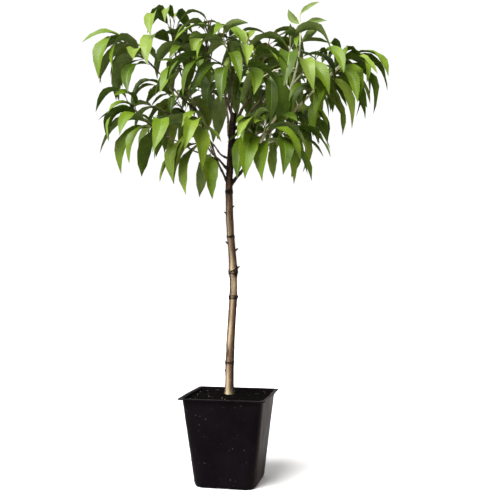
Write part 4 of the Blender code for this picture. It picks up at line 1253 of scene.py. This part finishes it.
def bark_look():
    """Bark by its masks: tan, with a pale streak that is a painted highlight, paler grain, dark rings, a darker top,
    painted shade down the sides and low on the trunk, and a green-cream foot, under a drawn-out grain.
    """
    look, tree, shader, _ = start_look("bark")
    mask = {name: put(tree, "Attribute", attribute_name=name).outputs["Fac"] for name in ("dark", "pale", "green")}
    skin = put(tree, "Attribute", attribute_name="skin").outputs["Vector"]
    drawn = stretched(tree, skin, (1.0, 1.0, 0.22))
    tan = placed(tree, MOTTLE, {
        "Place": drawn, "Blotch scale": 260.0, "Shade scale": 900.0, "First": srgb(130, 98, 72), "Second": srgb(84, 59, 41), "Shade": 0.4,
    })["Color"]
    # The pale mask carries a painted highlight down the trunk's front-left, besides paler grain and the pale stems of
    # some boughs.
    colour = blend(tree, mask["pale"], tan, srgb(192, 168, 138))
    colour = blend(tree, math_node(tree, "MULTIPLY", mask["green"], 0.75), colour, srgb(196, 192, 148))
    scars = noise_mask(tree, stretched(tree, skin, (1.0, 1.0, 2.2)), 520.0, 0.60, 0.68)
    colour = blend(tree, math_node(tree, "MULTIPLY", scars, 0.55), colour, srgb(84, 62, 42))
    night = placed(tree, MOTTLE, {
        "Place": drawn, "Blotch scale": 300.0, "Shade scale": 900.0, "First": srgb(14, 8, 5), "Second": srgb(36, 23, 15), "Shade": 0.4,
    })["Color"]
    # The dark mask also carries painted shade down the trunk's sides and on its low part.
    colour = blend(tree, mask["dark"], colour, night)
    normal = placed(tree, RELIEF, {"Place": drawn, "Scale": 900.0, "Strength": 0.55, "Depth": 0.0005})["Normal"]
    join(tree, shader, colour, None, normal)
    shader.inputs["Roughness"].default_value = 0.72
    shader.inputs["Specular IOR Level"].default_value = 0.12
    return look


def twig_look(name, first, second, roughness):
    """Thin bark: two near colours in blotches."""
    look, tree, shader, place = start_look(name)
    colours = placed(tree, MOTTLE, {
        "Place": place, "Blotch scale": 120.0, "Shade scale": 600.0, "First": first, "Second": second, "Shade": 0.3,
    })
    normal = placed(tree, RELIEF, {"Place": place, "Scale": 900.0, "Strength": 0.3, "Depth": 0.0002})["Normal"]
    join(tree, shader, colours["Color"], None, normal)
    shader.inputs["Roughness"].default_value = roughness
    shader.inputs["Specular IOR Level"].default_value = 0.3
    return look


def leaf_look(name, first, second, roughness, vein, gloss):
    """A leaf's skin: two near greens in soft blotches, and side veins that rise from the rib towards the margin.

    The veins are stripes of the place along the leaf plus the distance from the rib.
    """
    look, tree, shader, place = start_look(name)
    colours = placed(tree, MOTTLE, {
        "Place": place, "Blotch scale": 55.0, "Shade scale": 420.0, "First": first, "Second": second, "Shade": 0.16,
    })
    blade = put(tree, "SeparateXYZ", {0: put(tree, "Attribute", attribute_name="blade").outputs["Vector"]})
    out = math_node(tree, "ABSOLUTE", blade.outputs["X"])
    out = math_node(tree, "MULTIPLY", math_node(tree, "MULTIPLY", out, blade.outputs["Z"]), 0.42)
    stripe = math_node(tree, "SINE", math_node(tree, "MULTIPLY", math_node(tree, "SUBTRACT", blade.outputs["Y"], out), 29.0))
    ridge = math_node(tree, "POWER", math_node(tree, "MULTIPLY", math_node(tree, "ADD", stripe, 1.0), 0.5), 5.0)
    lifted = put(tree, "Bump", {"Height": ridge, "Strength": vein, "Distance": 0.0004})
    relief = placed(tree, RELIEF, {"Place": place, "Scale": 600.0, "Strength": 0.15, "Depth": 0.0002})
    tree.links.new(relief["Normal"], lifted.inputs["Normal"])
    paler = tuple(min(1.0, 1.55 * part + 0.01) for part in first[:3]) + (1.0,)
    colour = blend(tree, math_node(tree, "MULTIPLY", ridge, 0.26), colours["Color"], paler)
    join(tree, shader, colour, None, lifted.outputs["Normal"])
    shader.inputs["Roughness"].default_value = roughness
    shader.inputs["Specular IOR Level"].default_value = gloss
    return look


# Tints of the leaves' upper sides, then of their undersides, as a screen shows them: two near colours for each
UPPER_TINTS = (
    ((112, 132, 46), (100, 120, 35)), ((94, 117, 20), (82, 106, 14)), ((68, 90, 11), (56, 76, 8)),
    ((43, 59, 8), (33, 47, 5)), ((104, 124, 30), (92, 112, 22)),
)
UNDER_TINTS = (((108, 124, 66), (94, 110, 54)), ((72, 92, 24), (60, 80, 18)), ((90, 106, 32), (78, 92, 26)))
# The shoot whose end is wrapped in dry brown bud scales, and how many
DRY_SHOOT = ("left_leader", 0)
DRY_SCALES = 9
# How much thicker the pale green shoots are
STOUT = 1.4
# The camera's distance and height, for what is seen behind what
VIEW_RANGE, VIEW_HEIGHT = 1.5, 0.398
# Heights between which the trunk's top stays open to view, and the share of the pale stem that doesn't
OPEN_TRUNK = (0.560, 0.69)
OPEN_STEM = 0.30
# Angles that a leaf in front of them is turned by, in degrees, the smallest first
ASIDE = (0, 12, -12, 24, -24, 36, -36, 50, -50, 65, -65)
# Distances from the trunk between which the leaves go over from arching outwards to hanging
ARCHING = (0.09, 0.17)
# Heights between which leaves come to lean outwards to the sides, and how strongly
TOP_LEAVES = (0.74, 0.82)
TOP_LEAN = 0.3
# Young upright leaves show their faces to the sides
YOUNG_ROLL = math.radians(62)
YOUNG_TINT = 5
# How often each upper tint is dealt to a shoot of the left side, of the middle and of the right side: partly
# leaf-to-leaf variation, partly painted light, with more light tints on the lit left and more dark ones on the shaded
# right
DEALS = {"left": (0.46, 0.34, 0.08, 0.0, 0.12), "middle": (0.14, 0.48, 0.30, 0.04, 0.04), "right": (0.10, 0.42, 0.34, 0.12, 0.02)}
SIDES = {
    "far_left": "left", "low_left": "left", "left": "left", "left_leader": "left", "front_left": "left",
    "front": "middle", "front_right": "middle", "back_left": "middle", "right_leader": "middle",
}


def in_view(points):
    """Places across and up as they are seen from in front, drawn out to their size at the trunk."""
    return (points[..., (0, 2)] - (0.0, VIEW_HEIGHT)) * VIEW_RANGE / (VIEW_RANGE + points[..., 1:2])


def hides(leaf, line, beside, spare):
    """True where a leaf hangs in front of a line: more than a spare few of its points are seen beside the line."""
    blade = blade_points(leaf)
    off = in_view(blade)[:, None] - in_view(line)[None]
    in_front = blade[:, None, 1] < line[None, :, 1] + 0.004
    return ((np.hypot(off[..., 0], off[..., 1]) < beside) & in_front).any(1).sum() > spare


def turned_aside(leaf, open_lines):
    """The leaf, turned about its root by the least angle that uncovers the lines, or nothing where none does."""
    for angle in ASIDE:
        tried = dict(leaf, heading=leaf["heading"] + math.radians(angle))
        if not any(hides(tried, *line) for line in open_lines):
            return tried
    return None


def lines_in_view(crown, fine):
    """What the crown leaves open on its best side: the trunk's torn top, and the pale stem that rises on the right."""
    torn = trunk_centre(np.linspace(*OPEN_TRUNK, 40))
    stem = np.vstack([dense(crown.lines["right"][0], 0.004), dense(fine["right"][0], 0.004)])
    return (torn, 0.010, 1), (stem[int(len(stem) * OPEN_STEM):], 0.006, 3)


def make_foliage(open_lines, name, leaves, fine, looks):
    """The leaves of a mass as one piece, with the tint of each shoot dealt by chance. As painted light, more light ones
    go on the lit left and more dark ones on the shaded right.
    """
    rng = np.random.default_rng([SEED, 11, list(SHOOTS).index(name)])
    heap = Heap()
    shoots = len(SHOOTS[name])
    # Painted light: the deal gives the lit left lighter tints and the shaded right darker ones.
    deal = DEALS[SIDES.get(name, "right")]
    tints = rng.choice(len(UPPER_TINTS), (shoots, 2), p=deal)
    unders = rng.choice(len(UNDER_TINTS), shoots, p=(0.45, 0.40, 0.15))
    for leaf in leaves:
        leaf = turned_aside(leaf, open_lines) or leaf
        if (name, leaf["shoot"]) in UPRIGHT and leaf["place"] < YOUNG_LEAVES:
            leaf = dict(leaf, roll=YOUNG_ROLL * (-1) ** leaf["place"])
        young = (name, leaf["shoot"]) in UPRIGHT and leaf["place"] < YOUNG_LEAVES
        lean = TOP_LEAN * (not young) * float(ease(*TOP_LEAVES, leaf["root"][2])) * np.sign(leaf["root"][0])
        leaf = dict(leaf, heading=math.atan2(math.sin(leaf["heading"]), math.cos(leaf["heading"]) + lean))
        inner = 1 - ease(*ARCHING, math.hypot(*leaf["root"][:2]))
        leaf = dict(leaf, droop=leaf["droop"] * (1 - rng.uniform(0.0, 0.03 + 0.16 * inner)))
        root = nearest(fine[name][leaf["shoot"]], leaf["root"]) if leaf["place"] < 20 else leaf["root"]
        tint = tints[leaf["shoot"]][int(rng.random() < 0.35)]
        if (name, leaf["shoot"]) in UPRIGHT and leaf["place"] < YOUNG_LEAVES:
            tint = YOUNG_TINT
        add_leaf(heap, leaf, root, rng, tint, unders[leaf["shoot"]])
    return heap.piece("foliage_" + name, looks, ["leaves_" + name], sharp=55)


def make_twigs(crown, fine, sprigs, looks):
    """All the shoots and sprigs, and a bud above each leaf's root, in three barks dealt out by mass."""
    heap = Heap()
    rng = np.random.default_rng([SEED, 13])
    for name, lines in fine.items():
        tone = TWIG_TONES.get(name, 0)
        for number, line in enumerate(lines):
            nodes = [nearest(line, leaf["root"]) for leaf in crown.leaves[name] if leaf["shoot"] == number]
            radii = np.array(LEADER_RADII if number == 0 else SHOOT_RADII) * (STOUT if tone == 1 else 1)
            add_shoot(heap, line, radii, tone, nodes, len(heap.points))
            for leaf, node in zip([leaf for leaf in crown.leaves[name] if leaf["shoot"] == number], nodes):
                out = np.array((math.cos(leaf["heading"]), math.sin(leaf["heading"]), 1.6 + math.sin(leaf["rise"])))
                add_bud(heap, node, unit(out), rng.uniform(0.0022, 0.0036), tone, 0.5)
            ahead = unit(line[-1] - line[-2])
            add_bud(heap, line[-1] - ahead * 0.001, ahead, rng.uniform(0.004, 0.006), tone, 1.0)
            if (name, number) == DRY_SHOOT:
                for share, turn in zip(rng.uniform(0.45, 0.98, DRY_SCALES), rng.uniform(0, 2 * math.pi, DRY_SCALES)):
                    place = line[int(share * (len(line) - 1))]
                    way = unit(ahead + 0.55 * np.array((math.cos(turn), math.sin(turn), 0)))
                    add_sheath(heap, place, way, rng.uniform(0.012, 0.026), tone)
        for number, twig in sprigs[name]:
            add_shoot(heap, twig, SPRIG_RADII, tone, [], len(heap.points))
    return heap.piece("twigs", looks)


def make_wood(crown, look):
    """The trunk with its stubs, and the boughs as one piece of their own."""
    trunk = Heap()
    add_trunk(trunk)
    for stub in TRUNK_STUBS:
        add_stub(trunk, *stub)
    trunk.piece("trunk_bark", [look], ["trunk"], sharp=60)
    boughs = Heap()
    for name in BOUGHS:
        add_bough(boughs, crown, name)
    boughs.piece("boughs", [look], ["bough_" + name for name in BOUGHS], sharp=60)


def set_stage():
    """A wide pale floor, and a white world whose light comes mostly from the left in front."""
    world = bpy.data.worlds.new("studio")
    bpy.context.scene.world = world
    world.use_nodes = True
    tree = world.node_tree
    way = put(tree, "TexCoord").outputs["Generated"]
    toward = put(tree, "VectorMath", {0: way, 1: unit(turned(SOFTBOX))}, operation="DOT_PRODUCT").outputs["Value"]
    light = put(tree, "MapRange", {
        "Value": toward, "From Min": SKY_BAND[0], "From Max": SKY_BAND[1], "To Min": SKY_LIGHT[0], "To Max": SKY_LIGHT[1],
    }, interpolation_type="SMOOTHSTEP").outputs["Result"]
    seen = put(tree, "LightPath").outputs["Is Camera Ray"]
    light = put(tree, "Mix", {0: seen, 2: light, 3: BACKDROP_LIGHT}, data_type="FLOAT").outputs[0]
    tree.nodes["Background"].inputs["Color"].default_value = (1.0, 1.0, 1.0, 1.0)
    tree.links.new(light, tree.nodes["Background"].inputs["Strength"])
    t = np.linspace(0, 2 * math.pi, 96, endpoint=False)
    disc = np.column_stack([np.cos(t), np.sin(t), np.zeros(96)]) * FLOOR_RADIUS
    mesh = bpy.data.meshes.new("floor")
    mesh.from_pydata(disc.tolist(), [], [list(range(96))])
    look, tree, shader, place = start_look("floor_paper")
    paper = placed(tree, MOTTLE, {
        "Place": place, "Blotch scale": 2.0, "Shade scale": 60.0, "First": FLOOR_COLOUR, "Second": FLOOR_COLOUR, "Shade": 0.01,
    })
    seen = put(tree, "LightPath").outputs["Is Camera Ray"]
    join(tree, shader, blend(tree, seen, FLOOR_BOUNCE, paper["Color"]))
    shader.inputs["Roughness"].default_value = 1.0
    shader.inputs["Specular IOR Level"].default_value = 0.0
    mesh.materials.append(look)
    floor = bpy.data.objects.new("floor", mesh)
    bpy.context.scene.collection.objects.link(floor)


def sun_light(name, place, strength, softness):
    """A soft light from far off in the way of a place, set out with the tree, so that it is even over the floor."""
    lamp = bpy.data.lights.new(name, "SUN")
    lamp.energy = strength
    lamp.angle = math.radians(softness)
    made = bpy.data.objects.new(name, lamp)
    at = Vector(turned(place))
    made.location = at
    made.rotation_euler = (-at).to_track_quat("-Z", "Y").to_euler()
    bpy.context.scene.collection.objects.link(made)


def area_light(name, place, size, power, aim, tint):
    """A soft light with four corners, set out with the tree, that faces a point."""
    lamp = bpy.data.lights.new(name, "AREA")
    lamp.color = tint
    lamp.shape = "RECTANGLE"
    lamp.size, lamp.size_y = size
    lamp.energy = power
    made = bpy.data.objects.new(name, lamp)
    made.visible_camera = False
    at = Vector(turned(place))
    made.location = at
    made.rotation_euler = (Vector(turned(aim)) - at).to_track_quat("-Z", "Y").to_euler()
    bpy.context.scene.collection.objects.link(made)
    return made


def set_camera():
    """The camera, set out with the tree, which looks along the tree's +Y way and a little up."""
    lens = bpy.data.cameras.new("view")
    lens.lens = CAMERA_LENS
    lens.sensor_width = 36.0
    made = bpy.data.objects.new("view", lens)
    made.location = CAMERA_PLACE
    made.rotation_euler = (math.pi / 2 + CAMERA_PITCH, 0.0, TREE_TURN)
    bpy.context.scene.collection.objects.link(made)
    bpy.context.scene.camera = made


# Light
SOFTBOX = (-1.0, -0.9, 0.5)
SKY_BAND = (-0.3, 0.95)
SKY_LIGHT = (0.36, 1.40)
BACKDROP_LIGHT = 1.02
FLOOR_RADIUS = 30.0
FLOOR_COLOUR = srgb(226, 226, 226)
FLOOR_BOUNCE = srgb(150, 150, 148)

MOTTLE = make_mottle()
SPECKS = make_specks()
RELIEF = make_relief()

crown = Crown()
for name, seed in SEEDS.items():
    crown.grow(name, seed)
fine = smooth_shoots(crown)
sprigs, small_leaves = {}, {}
for name in SEEDS:
    sprigs[name], small_leaves[name] = grow_sprigs(crown, name, fine, SPRIG_SEEDS[name])

bark = bark_look()
twig_looks = [
    twig_look("twig_brown", srgb(50, 37, 24), srgb(72, 56, 34), 0.6),
    twig_look("twig_green", srgb(218, 218, 180), srgb(190, 192, 148), 0.5),
    twig_look("twig_red", srgb(110, 62, 38), srgb(92, 74, 42), 0.5),
]
leaf_looks = [leaf_look(f"leaf_upper_{k}", srgb(*a), srgb(*b), 0.42, 0.35, 0.20) for k, (a, b) in enumerate(UPPER_TINTS)]
leaf_looks += [leaf_look(f"leaf_under_{k}", srgb(*a), srgb(*b), 0.62, 0.5, 0.08) for k, (a, b) in enumerate(UNDER_TINTS)]
leaf_looks.append(twig_look("leaf_rib", srgb(108, 132, 50), srgb(98, 122, 40), 0.5))
leaf_looks.append(twig_look("leaf_stalk", srgb(122, 128, 50), srgb(116, 104, 48), 0.5))

open_lines = lines_in_view(crown, fine)
make_wood(crown, bark)
make_twigs(crown, fine, sprigs, twig_looks)
for name in SEEDS:
    make_foliage(open_lines, name, crown.leaves[name] + small_leaves[name], fine, leaf_looks)
make_pot(pot_look())
make_soil(compost_look("compost_dark", srgb(2, 1, 1), srgb(6, 4, 3)))
rng = np.random.default_rng([SEED, 17])
crumb_look = compost_look("compost_crumb", srgb(4, 3, 2), srgb(10, 7, 5), 90.0)
grit_look = compost_look("compost_grit", srgb(150, 142, 130), srgb(84, 74, 62), 60.0)
scatter("compost_crumbs", crumb_look, soil_spots(2600, rng, 0.0002), rng.uniform(0.0006, 0.0017, 2600), 21)
scatter("compost_grit", grit_look, soil_spots(60, rng, 0.0001), rng.uniform(0.0006, 0.0014, 60), 22)

set_stage()
sun_light("key", (-1.0, -1.25, 2.1), 6.9, 40.0)
area_light("corner_strip", (1.1, -0.28, 0.15), (0.10, 0.26), 4.0, (0.07, -0.04, 0.07), (1.0, 0.76, 0.66))
set_camera()
bpy.context.scene.view_settings.view_transform = "Standard"
